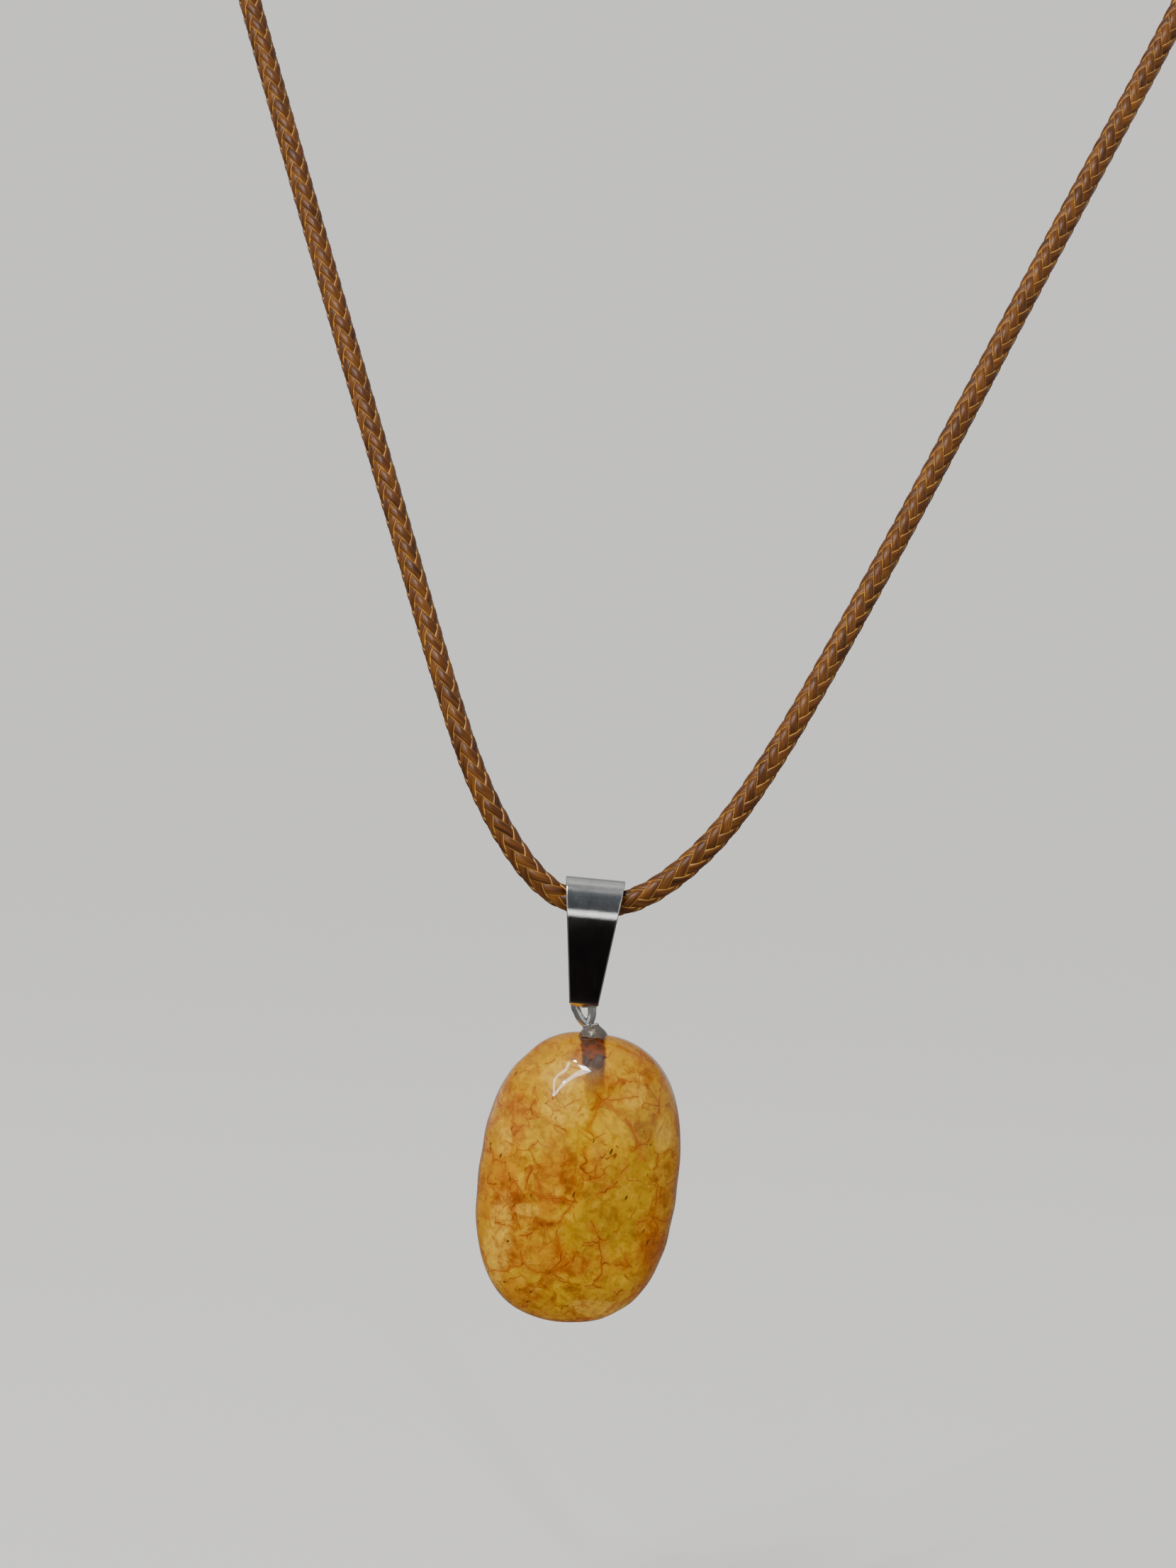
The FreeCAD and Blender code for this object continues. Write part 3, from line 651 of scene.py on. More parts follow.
STONE_HALF = (8.02, 4.7, 11.74)
STONE_POWER = 2.48
STONE_THICKNESS_POWER = 2.3
STONE_CENTRE = Vector((0.05, 0, -22.85))
STONE_TILT_DEG = 4.5
STONE_AROUND = 180
STONE_ROWS = 130
HOLE_R = 1.05
HOLE_MOUTH = Vector((0.62, 0, -11.9))
HOLE_LEAN_DEG = 6.0
HOLE_DEPTH = 5.0
# Soft planes left by tumbling: (direction, share of the pebble's own reach in that direction).
STONE_PLANES = [
    ((-0.15, -1.0, 0.55), 0.955), ((0.25, -1.0, -0.1), 0.965), ((-0.75, -1.0, -0.2), 0.955),
    ((0.85, -1.0, 0.2), 0.955), ((0.1, -1.0, -0.75), 0.95), ((0.55, -0.8, -0.85), 0.965),
    ((-0.6, -0.8, 0.8), 0.96), ((0.2, 1.0, 0.35), 0.955), ((-0.4, 1.0, -0.25), 0.955),
    ((0.7, 1.0, -0.4), 0.96), ((-0.8, 0.7, 0.5), 0.96), ((0.0, 1.0, -0.8), 0.955),
]
PLANE_HARDNESS = 26.0
# Colours of the dyed stone, linear.
AMBER_DEEP = (0.24, 0.055, 0.0)
AMBER = (0.34, 0.116, 0.0)
YELLOW = (0.42, 0.200, 0.0)
YELLOW_BRIGHT = (0.52, 0.285, 0.0)
OLIVE = (0.32, 0.165, 0.0)
ORANGE = (0.36, 0.080, 0.0)
VEIN = (0.13, 0.015, 0.0)
PALE_CREAM = (0.62, 0.350, 0.03)
SPECK = (0.03, 0.006, 0.0)
# Painted shade of the hole seen through the stone, with its red-brown and tan.
HOLE_SHADE = (0.025, 0.004, 0.0)
HOLE_RED = (0.14, 0.020, 0.0)
HOLE_TAN = (0.20, 0.07, 0.0)
RIM_SHADE_HALF = (8.0, 11.7)      # half sizes of the outline at which the painted amber rim shade is full
# Patches on the stone's face: (colour, strength, [(centre, half sizes), ...]). It is darkest olive
# where it is clearest, brightest at its inner fractures, and orange where the dye has gathered.
STONE_PATCHES = [
    (OLIVE, 0.55, [((3.2, -0.8), (2.8, 3.4)), ((4.6, 4.4), (1.4, 2.0)), ((2.2, -3.6), (3.0, 2.0))]),
    (YELLOW_BRIGHT, 0.55, [
        ((1.4, 3.6), (2.4, 1.9)), ((-1.6, -2.4), (2.0, 0.7)), ((-3.2, 3.8), (2.2, 2.4)),
        ((4.2, -6.4), (1.9, 2.4)), ((3.2, 6.8), (2.2, 1.4)), ((-4.6, 8.0), (2.0, 1.8))]),
    (ORANGE, 0.38, [
        ((-2.2, 0.4), (1.1, 3.2)), ((-5.6, 2.0), (1.0, 4.6)), ((-1.4, -6.4), (3.0, 1.4)),
        ((6.2, -3.6), (1.0, 2.8)), ((-6.6, -1.4), (0.9, 3.0)), ((-3.4, -9.4), (1.4, 1.2))]),
]
# Pale patches on the stone's face: (centre, half sizes), in millimetres; the first is a tall pale patch near
# the lower left edge.
PALE_PATCHES = [
    ((-5.7, -6.0), (1.1, 4.0)), ((3.0, -10.0), (2.4, 0.8)), ((-1.7, 5.9), (1.9, 1.5)),
    ((-2.6, 8.4), (1.5, 1.0)), ((3.4, 7.8), (0.9, 1.4)), ((-6.2, 2.4), (0.6, 1.2)),
    ((6.2, 4.6), (0.7, 1.6)), ((-3.9, -2.6), (1.2, 0.5)),
]
# Inclusions: (turn about Y in degrees, fineness along x, y, z, how many, size)
STONE_SPECKS = [(25, (2.6, 2.6, 0.7), 0.50, 0.14), (-35, (1.0, 2.0, 2.4), 0.42, 0.11)]


def pebble_reach(directions):
    """The smooth superelliptic pebble's radius in each direction."""
    half = np.array(STONE_HALF)
    scaled = np.abs(directions / half)
    outline = (scaled[:, 0] ** STONE_POWER + scaled[:, 2] ** STONE_POWER) ** (
        STONE_THICKNESS_POWER / STONE_POWER)
    return (outline + scaled[:, 1] ** STONE_THICKNESS_POWER) ** (-1 / STONE_THICKNESS_POWER)


def stone_directions():
    """Unit directions of a pole-to-pole grid, spaced evenly on the pebble."""
    half = np.array(STONE_HALF)
    tilt = np.pi * (np.arange(1, STONE_ROWS) / STONE_ROWS)
    turn = 2 * np.pi * np.arange(STONE_AROUND) / STONE_AROUND
    tilt, turn = np.meshgrid(tilt, turn, indexing="ij")
    points = np.stack([np.sin(tilt) * np.cos(turn), np.sin(tilt) * np.sin(turn), np.cos(tilt)], -1)
    return unit((points * half).reshape(-1, 3))


def stone_points():
    """The pebble with its soft planes and slight waviness, upright, in millimetres."""
    directions = stone_directions()
    reach = pebble_reach(directions)
    skin = directions * reach[:, None]
    total = np.ones(len(reach))
    for normal, share in STONE_PLANES:
        normal = unit(np.array(normal, float))
        offset = (skin @ normal).max() * share
        facing = np.maximum(directions @ normal, 1e-3)
        total += (reach * facing / offset) ** PLANE_HARDNESS
    reach = reach * total ** (-1 / PLANE_HARDNESS)
    wave = (np.sin(0.9 * skin[:, 0] + 0.7 * skin[:, 2]) * np.sin(0.8 * skin[:, 2] - 0.5 * skin[:, 0] + 1)
            + 0.5 * np.sin(1.9 * skin[:, 2] + 1.3 * skin[:, 0] + 0.8 * skin[:, 1]))
    return directions * (reach + 0.035 * wave)[:, None]


def make_stone():
    """The drilled pebble."""
    points = stone_points()
    top = (0, 0, STONE_HALF[2])
    bottom = (0, 0, -STONE_HALF[2])
    placed = [HANG + tilted(STONE_CENTRE + Vector(p), STONE_CENTRE, STONE_TILT_DEG) * MM
              for p in [*points.tolist(), top, bottom]]
    faces = []
    for i in range(STONE_ROWS - 2):
        for k in range(STONE_AROUND):
            m = (k + 1) % STONE_AROUND
            a, b = i * STONE_AROUND, (i + 1) * STONE_AROUND
            faces.append((a + k, b + k, b + m, a + m))
    north, south = len(placed) - 2, len(placed) - 1
    low = (STONE_ROWS - 2) * STONE_AROUND
    for k in range(STONE_AROUND):
        m = (k + 1) % STONE_AROUND
        faces.append((north, k, m))
        faces.append((south, low + m, low + k))
    mesh = bpy.data.meshes.new("tumbled_stone")
    mesh.from_pydata([tuple(p) for p in placed], [], faces)
    mesh.update()
    return add_object("tumbled_stone", cut_hole(mesh, HOLE_R), "pendant", "amber_stone", "stone")


def cut_hole(mesh, radius):
    """The mesh with the stone's blind hole drilled in it."""
    solid = add_to_scene("solid", mesh)
    lean = math.radians(HOLE_LEAN_DEG)
    down = Vector((math.sin(lean), 0, -math.cos(lean)))
    top = HANG + (HOLE_MOUTH - down * 3) * MM
    end = HANG + (HOLE_MOUTH + down * HOLE_DEPTH) * MM
    drill = add_to_scene("drill", swept("drill", [tuple(top), tuple(end)], radius * MM, 40))
    cut = solid.modifiers.new("hole", "BOOLEAN")
    cut.operation = "DIFFERENCE"
    cut.solver = "EXACT"
    cut.object = drill
    depsgraph = bpy.context.evaluated_depsgraph_get()
    made = bpy.data.meshes.new_from_object(solid.evaluated_get(depsgraph))
    for piece in (solid, drill):
        bpy.data.objects.remove(piece)
    made.shade_smooth()
    made.set_sharp_from_angle(angle=math.radians(35))
    return made


def stone_fields(tree):
    """The positions and noises that the parts of the stone's colour share."""
    place, x, _, z = local_place(tree, HANG + STONE_CENTRE * MM, STONE_TILT_DEG)
    fine_bent = warped(tree, place, 1.1, 0.55)
    return SimpleNamespace(
        place=place, x=x, z=z, bent=warped(tree, place, 0.35, 1.9), fine_bent=fine_bent,
        mottle=noise(tree, fine_bent, 1.6, 5.0, 0.65), ragged=noise(tree, place, 0.6, 4.0, 0.65))


def patch(tree, at, centre, half, softness=0.5):
    """1 inside a ragged elliptic patch of the stone's face, 0 outside."""
    across = calc(tree, "DIVIDE", calc(tree, "SUBTRACT", at.x, centre[0]), half[0])
    along = calc(tree, "DIVIDE", calc(tree, "SUBTRACT", at.z, centre[1]), half[1])
    reach = calc(tree, "ADD", times(tree, across, across),
                 times(tree, along, along))
    rough = times_plus(tree, at.ragged, 2.2, calc(tree, "SUBTRACT", reach, 1.1))
    return fade(tree, rough, 1 + softness, 1 - softness)


def grain_colour(tree, at):
    """Fractured grains: large ones vary in colour, small ones in brightness."""
    big = outputs(tree, "SeparateColor", {0: voronoi(tree, at.bent, 0.30, "F1", "Color")})
    small = outputs(tree, "SeparateColor", {0: voronoi(tree, at.fine_bent, 0.75, "F1", "Color")})
    cloud = noise(tree, at.bent, 0.30, 4.0, 0.55)
    tone = times_plus(tree, big[0], 0.22, times(tree, cloud, 0.60))
    tone = times_plus(tree, small[1], 0.10, tone)
    tone = times_plus(tree, at.mottle, 0.30, tone)
    return shade(tree, tone, [
        (0.42, AMBER_DEEP), (0.52, AMBER), (0.60, YELLOW), (0.70, YELLOW_BRIGHT), (0.82, YELLOW)])


def with_patches(tree, at, colour):
    """The large patches, and deeper amber painted at the outline as shade, for the longer path of light
    through the dye there.
    """
    for tint, strength, spots in STONE_PATCHES:
        for centre, half in spots:
            share = times(tree, patch(tree, at, centre, half), strength)
            colour = blend(tree, share, colour, tint)
    # Painted shade: deeper amber towards the outline, standing in for the longer path of light through the
    # stone there.
    powers = [calc(tree, "POWER", calc(tree, "ABSOLUTE", calc(tree, "DIVIDE", way, half)), 2.5)
              for way, half in zip((at.x, at.z), RIM_SHADE_HALF)]
    rim_shade = fade(tree, calc(tree, "ADD", *powers), 0.45, 1.05)
    rim_shade = times(tree, rim_shade, times_plus(tree, at.mottle, 0.8, 0.25))
    return blend(tree, rim_shade, colour, AMBER)


def with_pale_patches(tree, at, colour):
    """Pale wisps and patches, fine grain, and painted glints along the thin edges of the small grains."""
    wisps = fade(tree, noise(tree, at.fine_bent, 0.75, 4.0, 0.65), 0.58, 0.74)
    pale = times(tree, wisps, 0.35)
    for centre, half in PALE_PATCHES:
        spot = times(tree, patch(tree, at, centre, half, 0.35), 0.70)
        pale = calc(tree, "MAXIMUM", pale, spot)
    broken = times_plus(tree, at.mottle, 1.4, -0.05)
    colour = blend(tree, calc(tree, "MULTIPLY", pale, broken, clamp=True), colour, PALE_CREAM)
    fine = shade(tree, at.mottle, [(0.30, (0.70, 0.60, 0.5)), (0.50, grey(1)), (0.70, (1.22, 1.25, 1.0))])
    colour = blend(tree, 1.0, colour, fine, "MULTIPLY")
    edge = voronoi(tree, at.fine_bent, 0.75, "DISTANCE_TO_EDGE", "Distance")
    # Painted glints: the small grains' thin edges painted pale where the ragged noise is high.
    glint = times(tree, fade(tree, edge, 0.05, 0.0), fade(tree, at.ragged, 0.50, 0.62))
    return blend(tree, times(tree, glint, 0.5), colour, PALE_CREAM)


def with_cracks(tree, at, colour):
    """The colour and skin height with broken cracks on two scales, dye bled into their sides."""
    height = noise(tree, at.place, 0.8, 2.0)
    for grid, scale, glow, strength, start in (
            (at.bent, 0.26, 0.10, 0.8, 0.46), (at.fine_bent, 0.46, 0.07, 0.6, 0.50)):
        edge = voronoi(tree, grid, scale, "DISTANCE_TO_EDGE", "Distance")
        present = fade(tree, noise(tree, at.place, 0.35 + scale, 3.0), start, start + 0.08)
        bleed = times(tree, fade(tree, edge, glow, 0.0),
                     times(tree, present, strength))
        colour = blend(tree, times(tree, bleed, 0.7), colour, ORANGE)
        line = times(tree, fade(tree, edge, 0.014, 0.002), present)
        line = times(tree, line, fade(tree, at.mottle, 0.36, 0.56))
        colour = blend(tree, times(tree, line, 0.8), colour, VEIN)
        height = times_plus(tree, line, -0.5, height)
    return colour, height


def with_specks(tree, at, colour):
    """Short dark inclusions, some of them left out."""
    for turn, stretch, scale, size in STONE_SPECKS:
        dashes = local_place(tree, HANG + STONE_CENTRE * MM, turn, stretch)[0]
        speck = fade(tree, voronoi(tree, dashes, scale, "F1", "Distance"), size, size * 0.6)
        chosen = fade(tree, noise(tree, at.place, 1.1, 1.0), 0.50, 0.56)
        share = times(tree, times(tree, speck, chosen), 0.85)
        colour = blend(tree, share, colour, SPECK)
    return colour


def with_hole_shade_column(tree, at, colour):
    """The drilled hole seen through the stone, painted as a red-brown column below the glue, with dark
    painted shade inside the hole.
    """
    _, x, _, z = local_place(tree, HANG + HOLE_MOUTH * MM, -HOLE_LEAN_DEG)
    wobble = times_plus(tree, at.ragged, 1.1, -0.55)
    half = times_plus(tree, z, 0.10, HOLE_R)
    side = calc(tree, "SUBTRACT", half, calc(tree, "ABSOLUTE", calc(tree, "ADD", x, wobble)))
    inside = fade(tree, side, -0.10, 0.16)
    deep = fade(tree, calc(tree, "ADD", z, times(tree, wobble, 2.2)), -5.6, -1.6)
    level = times_plus(tree, z, 0.25, times_plus(tree, at.mottle, 0.9, 0.45))
    # Painted shade: dark inside the hole, red-brown towards the mouth, tan lower down where the column
    # fades.
    column = shade(tree, level, [
        (0.25, HOLE_TAN), (0.45, HOLE_SHADE), (0.62, HOLE_SHADE), (0.78, HOLE_RED), (1.0, HOLE_SHADE)])
    share = times(tree, times(tree, inside, deep), 0.95)
    return blend(tree, share, colour, column)


def stone_material():
    """Dyed crackle stone: amber rims painted as shade, yellow heart, orange veins, pale patches, dark
    specks.
    """
    material, tree, shader = new_material("amber_stone")
    at = stone_fields(tree)
    colour = with_pale_patches(tree, at, with_patches(tree, at, grain_colour(tree, at)))
    colour, height = with_cracks(tree, at, colour)
    colour = with_hole_shade_column(tree, at, with_specks(tree, at, colour))
    bumped(tree, shader, height, 0.000015)
    set_inputs(tree, shader, Base_Color=colour, Specular_IOR_Level=0.15,
               Roughness=shade(tree, at.mottle, [(0.3, grey(0.20)), (0.7, grey(0.36))]),
               Subsurface_Weight=0.15, Subsurface_Radius=(1.0, 0.4, 0.02), Subsurface_Scale=0.0006,
               Coat_Weight=1.0, Coat_IOR=1.4, Coat_Roughness=0.03)
    return material


stone = make_stone()
set_material(stone, stone_material())

# ---------------- glue

# (distance from the hole's axis, height above its mouth): plug, skirt on the stone, dome, neck
GLUE_PROFILE = [
    (0.02, -1.6), (0.95, -1.6), (1.02, -1.4), (1.02, -0.5), (1.04, -0.22), (1.16, -0.12), (1.26, -0.06),
    (1.29, 0.06), (1.28, 0.26), (1.23, 0.48), (1.14, 0.70), (1.01, 0.90), (0.86, 1.06), (0.71, 1.19),
    (0.60, 1.30), (0.53, 1.42), (0.48, 1.50), (0.02, 1.52),
]


AXIS_GAP = 0.01             # a turned shape's least radius


def turned(name, profile, origin, axis, around=40, wobble=0.0):
    """A mesh turned from (radius, height) points about an axis through an origin, in millimetres."""
    axis = Vector(axis).normalized()
    side = axis.orthogonal().normalized()
    other = axis.cross(side)
    rings = []
    for radius, height in profile:
        ring = []
        for k in range(around):
            angle = 2 * math.pi * k / around
            uneven = math.sin(2 * angle + 1) + 0.6 * math.sin(3 * angle)
            reach = max(radius, AXIS_GAP) * (1 + wobble * uneven)
            point = side * (reach * math.cos(angle)) + other * (reach * math.sin(angle))
            ring.append(tuple(origin + (point + axis * height) * MM))
        rings.append(ring)
    return grid_mesh(name, rings)


def smooth_profile(profile, steps=4):
    """A profile with points added by a Catmull-Rom curve through its own."""
    points = np.array([profile[0], *profile, profile[-1]], float)
    made = []
    for k in range(1, len(points) - 2):
        before, start, end, after = points[k - 1:k + 3]
        for share in np.arange(steps) / steps:
            made.append(0.5 * (2 * start + (end - before) * share
                               + (2 * before - 5 * start + 4 * end - after) * share ** 2
                               + (3 * start - before - 3 * end + after) * share ** 3))
    made.append(points[-1])
    return made


def glue_material():
    """Clear cured glue, a little yellow, with fine bubbles in its bump."""
    material, tree, shader = new_material("clear_glue")
    place = local_place(tree, HANG, 0)[0]
    ripple = noise(tree, place, 1.6, 3.0)
    bumped(tree, shader, ripple, 0.00005)
    set_inputs(tree, shader, Transmission_Weight=0.92, IOR=1.47,
               Base_Color=shade(tree, ripple, [(0.3, (0.96, 0.84, 0.66)), (0.7, (1.0, 0.95, 0.86))]),
               Roughness=shade(tree, ripple, [(0.35, grey(0.02)), (0.7, grey(0.09))]))
    return material


def make_glue():
    """The drop of glue over the hole's mouth, round the stem."""
    lean = math.radians(HOLE_LEAN_DEG)
    up = Vector((-math.sin(lean), 0, math.cos(lean)))
    mesh = turned("glue_drop", smooth_profile(GLUE_PROFILE), HANG + HOLE_MOUTH * MM, up, wobble=0.012)
    return add_object("glue_drop", mesh, "pendant", "clear_glue", "glue_bead")


glue = make_glue()
set_material(glue, glue_material())

# ---------------- closure

# In millimetres, on the clasp's own line: the X axis behind the neck.
RING_R = 2.1
RING_WIRE_R = 0.35
RING_CUT = 0.06
RING_LEFT_X = 0.17
RING_RIGHT_X = 12.39
CAP_LOOP_R = 0.95
CAP_WALL = 0.9
CAP_LOOP_WIRE_R = 0.35
LINK_COUNT = 12
LINK_WIRE_R = 0.3
LINK_END_R = 1.3
LINK_HALF_HEIGHT = 1.8
LINK_GAP = 0.04
DROP_EYE_R = 1.0


def collar(start, end):
    """(radius, distance from the mouth) of a rounded collar turned on a barrel end."""
    return [(1.72, start), (1.78, start + 0.03), (1.80, start + 0.10), (1.80, end - 0.10),
            (1.78, end - 0.03), (1.72, end), (1.63, end + 0.01), (1.60, end + 0.06)]


# (radius, distance from the cord end's mouth) of a barrel end, turned from bar
CAP_PROFILE = [
    (0.02, -5.2), (1.03, -5.2), (1.03, -5.95), (1.08, -6.0), *collar(-6.0, -5.3),
    (1.60, -3.30), (1.57, -3.24), (1.55, -3.15), (1.57, -3.06), (1.60, -3.00),
    (1.60, -0.36), (1.63, -0.31), *collar(-0.3, 0.2),
    (1.59, 0.40), (1.54, 0.54), (1.42, 0.68), (1.22, 0.82), (0.96, 0.93), (0.64, 1.00), (0.30, 1.03),
    (0.02, 1.04),
]
# (radius, height from the drop's eye's wire) of the solid drop
DROP_PROFILE = [
    (0.02, -6.79), (0.35, -6.76), (0.75, -6.62), (1.12, -6.34), (1.40, -5.97), (1.56, -5.56), (1.60, -5.20),
    (1.56, -4.86), (1.46, -4.48), (1.28, -4.02), (1.02, -3.42), (0.78, -2.86), (0.58, -2.40),
    (0.44, -2.12), (0.34, -1.98), (0.02, -1.92),
]
CLASP_X = 8.74                 # the middle of the clasp's opening
SPRING_LEAF = 0.08
SPRING_WIDTH = 0.5
# (x, z) of the spring's bends from the middle of the clasp's opening
SPRING_BENDS = [
    (-3.70, -0.38), (-2.90, -0.38), (-2.32, -0.39), (-2.17, -0.44), (-2.28, -0.50), (-2.80, -0.64),
    (-3.08, -0.71), (-3.13, -0.78), (-2.90, -0.88), (-2.30, -1.11),
]
CORD_ENDS = {"left": (LEFT_CORD_END, 1), "right": (RIGHT_CORD_END, -1)}


def ring_points(centre, radius, across, up, start_deg=0.0, sweep_deg=360.0, count=48):
    """Points of a circle or an arc, in metres, about a centre in millimetres."""
    closed = sweep_deg == 360.0
    angles = np.radians(start_deg + sweep_deg * np.arange(count) / (count if closed else count - 1))
    centre, across, up = np.array(centre, float), np.array(across, float), np.array(up, float)
    return (centre + radius * (np.cos(angles)[:, None] * across + np.sin(angles)[:, None] * up)) * MM


def make_jump_ring(name, x):
    """A round ring of wire whose sawn ends nearly meet."""
    gap = math.degrees(RING_CUT / RING_R)
    points = ring_points((x, 0, 0), RING_R, (0, -1, 0), (1, 0, 0), gap / 2, 360 - gap, 72)
    ends = np.ones(len(points))
    ends[[0, -1]] = 0.90
    ends[[1, -2]] = 0.98
    return swept(name, points, ends * RING_WIRE_R * MM, 20)


def make_link_mesh(centre, side):
    """An oval link with its soldered seam, standing along Z; side is its wide direction."""
    half_run = LINK_HALF_HEIGHT - LINK_END_R
    up, side = Vector((0, 0, 1)), Vector(side)
    top = ring_points(centre + up * half_run, LINK_END_R, side, up, 0, 180, 22)
    bottom = ring_points(centre - up * half_run, LINK_END_R, side, up, 180, 180, 22)
    limb = [(centre + side * (LINK_END_R * s) + up * (z * half_run)) * MM
            for s, zs in ((-1, (0.6, 0.2, -0.2, -0.6)), (1, (-0.6, -0.2, 0.2, 0.6))) for z in zs]
    limb = np.array([tuple(p) for p in limb])
    points = np.concatenate([top, limb[:4], bottom, limb[4:]])
    seam = np.linalg.norm(points - np.array(centre + side * LINK_END_R) * MM, axis=1) / MM
    radii = (LINK_WIRE_R - 0.02 + 0.02 * np.exp(-(seam / 0.22) ** 2)) * MM
    return swept("chain_link", points, radii, 16, closed=True)


def make_chain():
    """Twelve links, a quarter turn one after the other, and the end drop."""
    pivot, carrier = Vector((RING_RIGHT_X, RING_R, 0)), RING_WIRE_R
    made = []
    for number in range(1, LINK_COUNT + 1):
        rise = carrier + LINK_WIRE_R + LINK_GAP
        centre = pivot + Vector((0, 0, rise - LINK_HALF_HEIGHT))
        mesh = make_link_mesh(centre, (0, 1, 0) if number % 2 else (1, 0, 0))
        body = f"chain_link_{number:02d}"
        made.append(add_object(f"oval_link_{number:02d}", mesh, body, "chain_steel", body))
        pivot, carrier = pivot + Vector((0, 0, rise - 2 * LINK_HALF_HEIGHT)), LINK_WIRE_R
    origin = pivot + Vector((0, 0, carrier + LINK_WIRE_R + LINK_GAP))
    loop = ring_points(origin - Vector((0, 0, DROP_EYE_R)), DROP_EYE_R, (0, 1, 0), (0, 0, 1))
    eye = swept("drop_eye", loop, LINK_WIRE_R * MM, 16, closed=True)
    drop = turned("drop_ball", smooth_profile(DROP_PROFILE, 3), origin * MM, (0, 0, 1), 36)
    mesh = join_meshes("end_drop", [eye, drop])
    made.append(add_object("end_drop", mesh, "chain_drop", "chain_steel", "chain_drop"))
    return made


def make_cord_ends():
    """Two turned barrel ends, glued over the cord, each with its eye."""
    made = []
    for side, (end_x, way) in CORD_ENDS.items():
        barrel = turned("barrel", CAP_PROFILE, Vector((end_x, 0, 0)) * MM, (way, 0, 0), 40)
        eye_x = end_x + way * (CAP_WALL + CAP_LOOP_R)
        eye = swept("eye", ring_points((eye_x, 0, 0), CAP_LOOP_R, (1, 0, 0), (0, 0, 1)),
                    CAP_LOOP_WIRE_R * MM, 16, closed=True)
        mesh = join_meshes("barrel_end_" + side, [barrel, eye])
        mesh.set_sharp_from_angle(angle=math.radians(40))
        made.append(add_object("barrel_end_" + side, mesh, "root", "findings_steel", "cord_end_" + side))
    return made


def make_leaf_spring():
    """The bent leaf between the clasp's slot roof and its lever, with a mesh of its own."""
    path = np.array(smooth_profile(SPRING_BENDS, 5))
    ahead = unit(np.gradient(path, axis=0))
    half_width, half_leaf = SPRING_WIDTH / 2, SPRING_LEAF / 2
    rings = []
    for (x, z), (ahead_x, ahead_z) in zip(path, ahead):
        ring = []
        for y, out in ((-1, -1), (-0.8, -1), (0.8, -1), (1, -1), (1, 1), (0.8, 1), (-0.8, 1), (-1, 1)):
            ring.append(((CLASP_X + x - ahead_z * out * half_leaf) * MM, y * half_width * MM,
                         (z + ahead_x * out * half_leaf) * MM))
        rings.append(ring)
    mesh = grid_mesh("leaf_spring", rings)
    mesh.set_sharp_from_angle(angle=math.radians(50))
    piece = add_object("leaf_spring", mesh, "clasp", "spring_steel", "clasp_spring")
    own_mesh(piece)
    return piece


def make_closure():
    """Cord ends, rings, chain and drop, and the steel looks of the clasp's solids."""
    findings = metal_material("findings_steel", (0.82, 0.81, 0.79), 0.14, 1.0)
    chain = metal_material("chain_steel", (0.84, 0.83, 0.80), 0.11, 0.8)
    spring = metal_material("spring_steel", (0.60, 0.61, 0.63), 0.20, 1.0)
    pieces = make_cord_ends()
    for side, x in (("left", RING_LEFT_X), ("right", RING_RIGHT_X)):
        name = "jump_ring_" + side
        pieces.append(add_object("sawn_ring_" + side, make_jump_ring(name, x), name, "findings_steel", name))
    pieces += [bpy.data.objects[name] for name in ("clasp_body", "clasp_lever", "clasp_pin")]
    for piece in pieces:
        set_material(piece, findings)
    for piece in make_chain():
        set_material(piece, chain)
    set_material(make_leaf_spring(), spring)


make_closure()

# ---------------- stage and light


FLOOR_COLOUR = (0.86, 0.85, 0.83)
AMBIENT = (0.74, 0.735, 0.72)
BACKDROP = (1.74, 1.71, 1.67)     # as bright as the lit floor
WORLD_STRENGTH = 0.5
FLOOR_DROP = 0.03                 # below the lowest solid
FLOOR_SIZE = 60
# Ends of the window's bright bars, as (azimuth, elevation) seen from the pendant, and their size.
WINDOW_BARS = [
    ((-25, 55), (-20, 31)), ((-20, 31), (-11.5, 50)), ((-11.5, 50), (-13, 54)), ((-19, 57), (-16.5, 58))]
BAR_WIDTH = 0.024
BAR_POWER = 0.4
LIGHT_DISTANCE = 0.7
# What polish mirrors, from straight below (0) to straight above (1): all round, and in front.
ROOM = [
    (0.0, grey(0.22)), (0.38, grey(0.30)), (0.49, grey(0.45)), (0.55, grey(1.15)), (0.68, grey(1.05)),
    (0.76, grey(0.50)), (1.0, grey(1.3))]
FRONT = [
    (0.0, (0.10, 0.085, 0.08)), (0.25, (0.045, 0.028, 0.030)), (0.36, (0.010, 0.008, 0.009)),
    (0.40, (0.07, 0.07, 0.05)), (0.47, (0.20, 0.20, 0.17)), (0.52, (0.06, 0.07, 0.085)),
    (0.66, (0.07, 0.085, 0.10)), (0.80, (0.20, 0.23, 0.26)), (1.0, grey(0.7))]


def make_stage():
    """A pale floor under the necklace, left out of mirror reflections."""
    bpy.ops.mesh.primitive_plane_add(size=FLOOR_SIZE, location=(0, 0, cad_bounds[0].z - FLOOR_DROP))
    floor = bpy.context.active_object
    floor.name = "floor"
    floor.visible_glossy = False
    material, tree, shader = new_material("floor")
    set_inputs(tree, shader, Base_Color=(*FLOOR_COLOUR, 1), Specular_IOR_Level=0.0, Roughness=0.9)
    set_material(floor, material)


def toward(azimuth, elevation):
    """A light's place around the pendant; azimuth 0 is in front, positive to the right."""
    a, e = math.radians(azimuth), math.radians(elevation)
    way = Vector((math.sin(a) * math.cos(e), -math.cos(a) * math.cos(e), math.sin(e)))
    return HANG + way * LIGHT_DISTANCE


def only(piece):
    """A collection of one piece, for a light that falls on nothing else."""
    lit = bpy.data.collections.new("lit_" + piece.name)
    lit.objects.link(piece)
    return lit


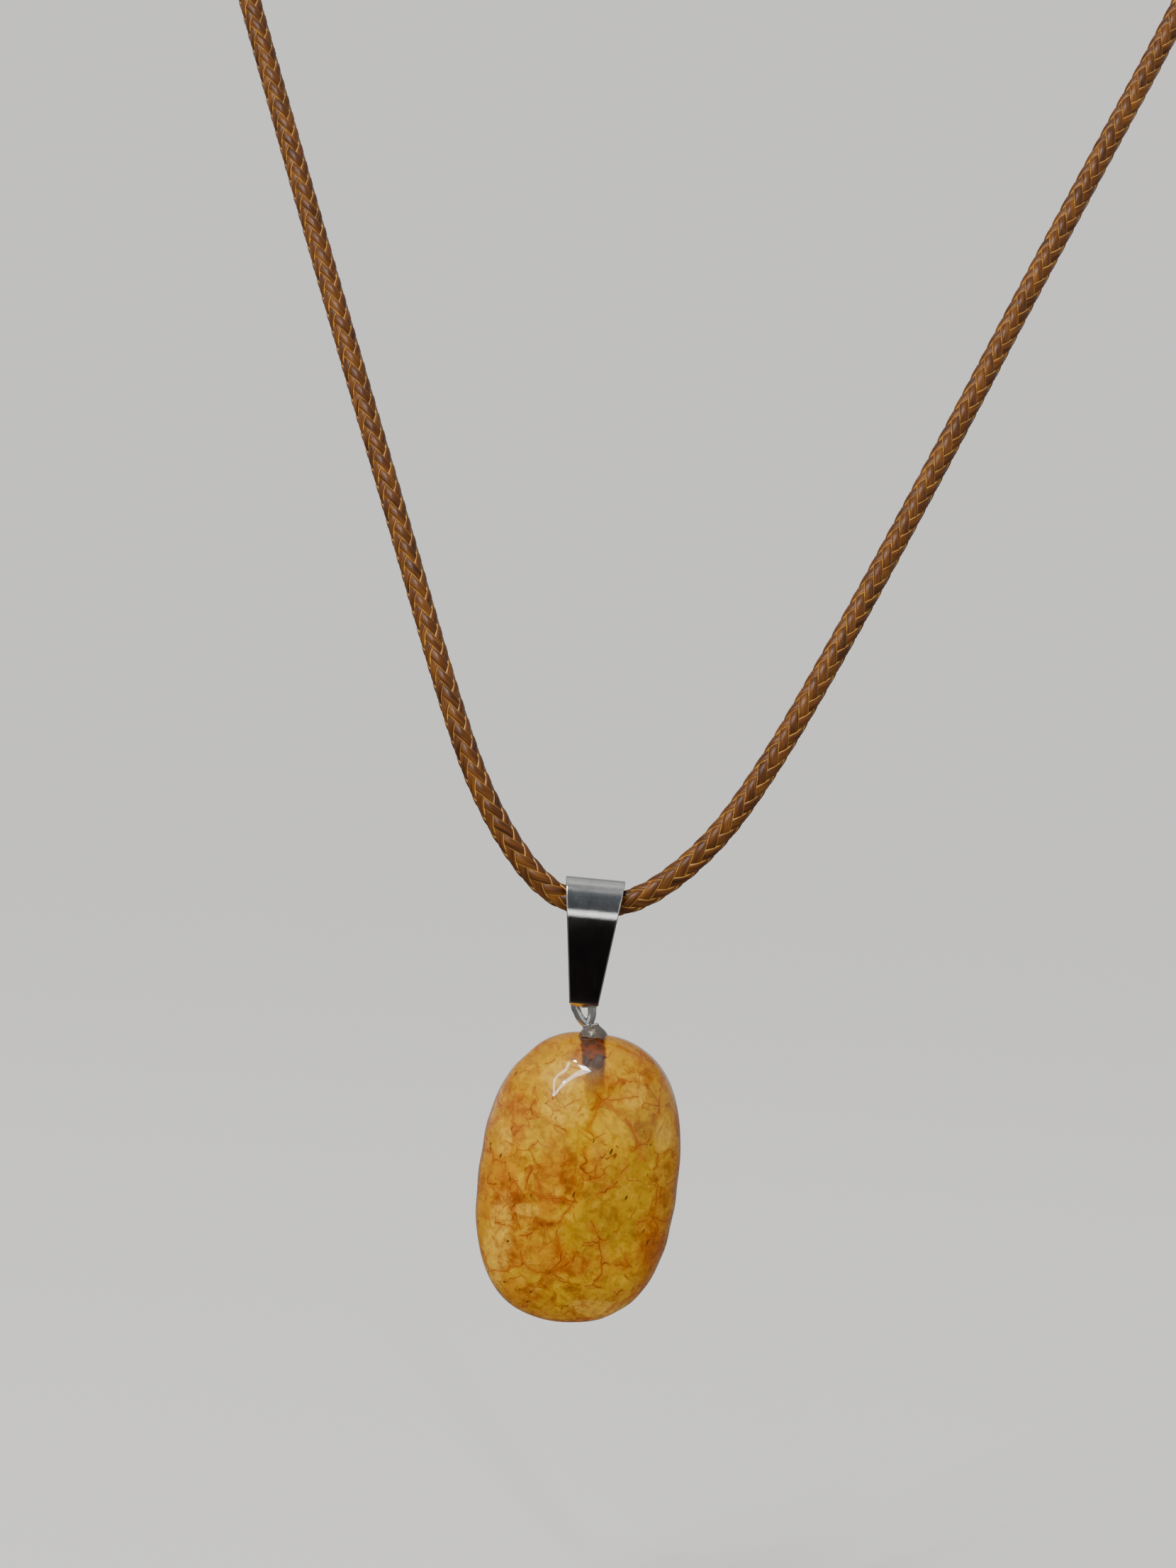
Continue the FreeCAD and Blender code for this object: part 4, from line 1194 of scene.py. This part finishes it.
def soft_sun(name, azimuth, elevation, strength, spread, sheen_on=None):
    """Even daylight from one side, mirrored by nothing; or only the sheen of one piece."""
    data = bpy.data.lights.new(name, "SUN")
    data.energy = strength
    data.angle = math.radians(spread)
    lamp = add_to_scene(name, data)
    lamp.location = toward(azimuth, elevation)
    lamp.rotation_euler = (HANG - lamp.location).to_track_quat("-Z", "Y").to_euler()
    lamp.visible_glossy = sheen_on is not None
    lamp.visible_diffuse = sheen_on is None
    if sheen_on is not None:
        lamp.light_linking.receiver_collection = only(sheen_on)


def window_bar(name, start, end, width, power):
    """A thin bright bar between two directions, for the highlight on the polish."""
    first, last = toward(*start), toward(*end)
    middle = (first + last) / 2
    data = bpy.data.lights.new(name, "AREA")
    data.shape = "RECTANGLE"
    data.size, data.size_y = (last - first).length, width
    data.energy = power
    lamp = add_to_scene(name, data)
    along = (last - first).normalized()
    away = (middle - HANG).normalized()
    away = (away - along * away.dot(along)).normalized()
    turn = Matrix((along, away.cross(along), away)).transposed().to_4x4()
    lamp.matrix_world = Matrix.Translation(middle) @ turn
    return lamp


def make_lights():
    """Soft daylight from the upper left, a weak fill, and a window's bright bars for the polish."""
    soft_sun("daylight", -42, 46, 2.7, 35)
    soft_sun("fill", 60, 12, 0.3, 60)
    soft_sun("sheen", -42, 46, 0.6, 25, cord)
    for number, (start, end) in enumerate(WINDOW_BARS):
        window_bar("window_bar_%d" % number, start, end, BAR_WIDTH, BAR_POWER)
    strip = window_bar("eye_level_strip", (-13, -3.8), (13, -3.8), 0.12, 0.22)
    strip.light_linking.receiver_collection = only(bail)


def make_world():
    """A pale surround; what polish mirrors of it is dark in front with a bright strip at eye level."""
    world = bpy.data.worlds.new("surround")
    world.use_nodes = True
    tree = world.node_tree
    x, y, z = outputs(tree, "SeparateXYZ", {0: outputs(tree, "TexCoord")["Generated"]})
    height = times_plus(tree, z, 0.5, 0.5)
    aside = calc(tree, "ABSOLUTE", x)
    ahead = times(tree, fade(tree, aside, 0.11, 0.06), fade(tree, y, 0.0, -0.2))
    mirrored = blend(tree, ahead, shade(tree, height, ROOM), shade(tree, height, FRONT))
    path = outputs(tree, "LightPath")
    seen = blend(tree, path["Is Glossy Ray"], AMBIENT, mirrored)
    seen = blend(tree, path["Is Camera Ray"], seen, BACKDROP)
    set_inputs(tree, tree.nodes["Background"], Color=seen, Strength=WORLD_STRENGTH)
    bpy.context.scene.world = world


make_stage()
make_lights()
make_world()
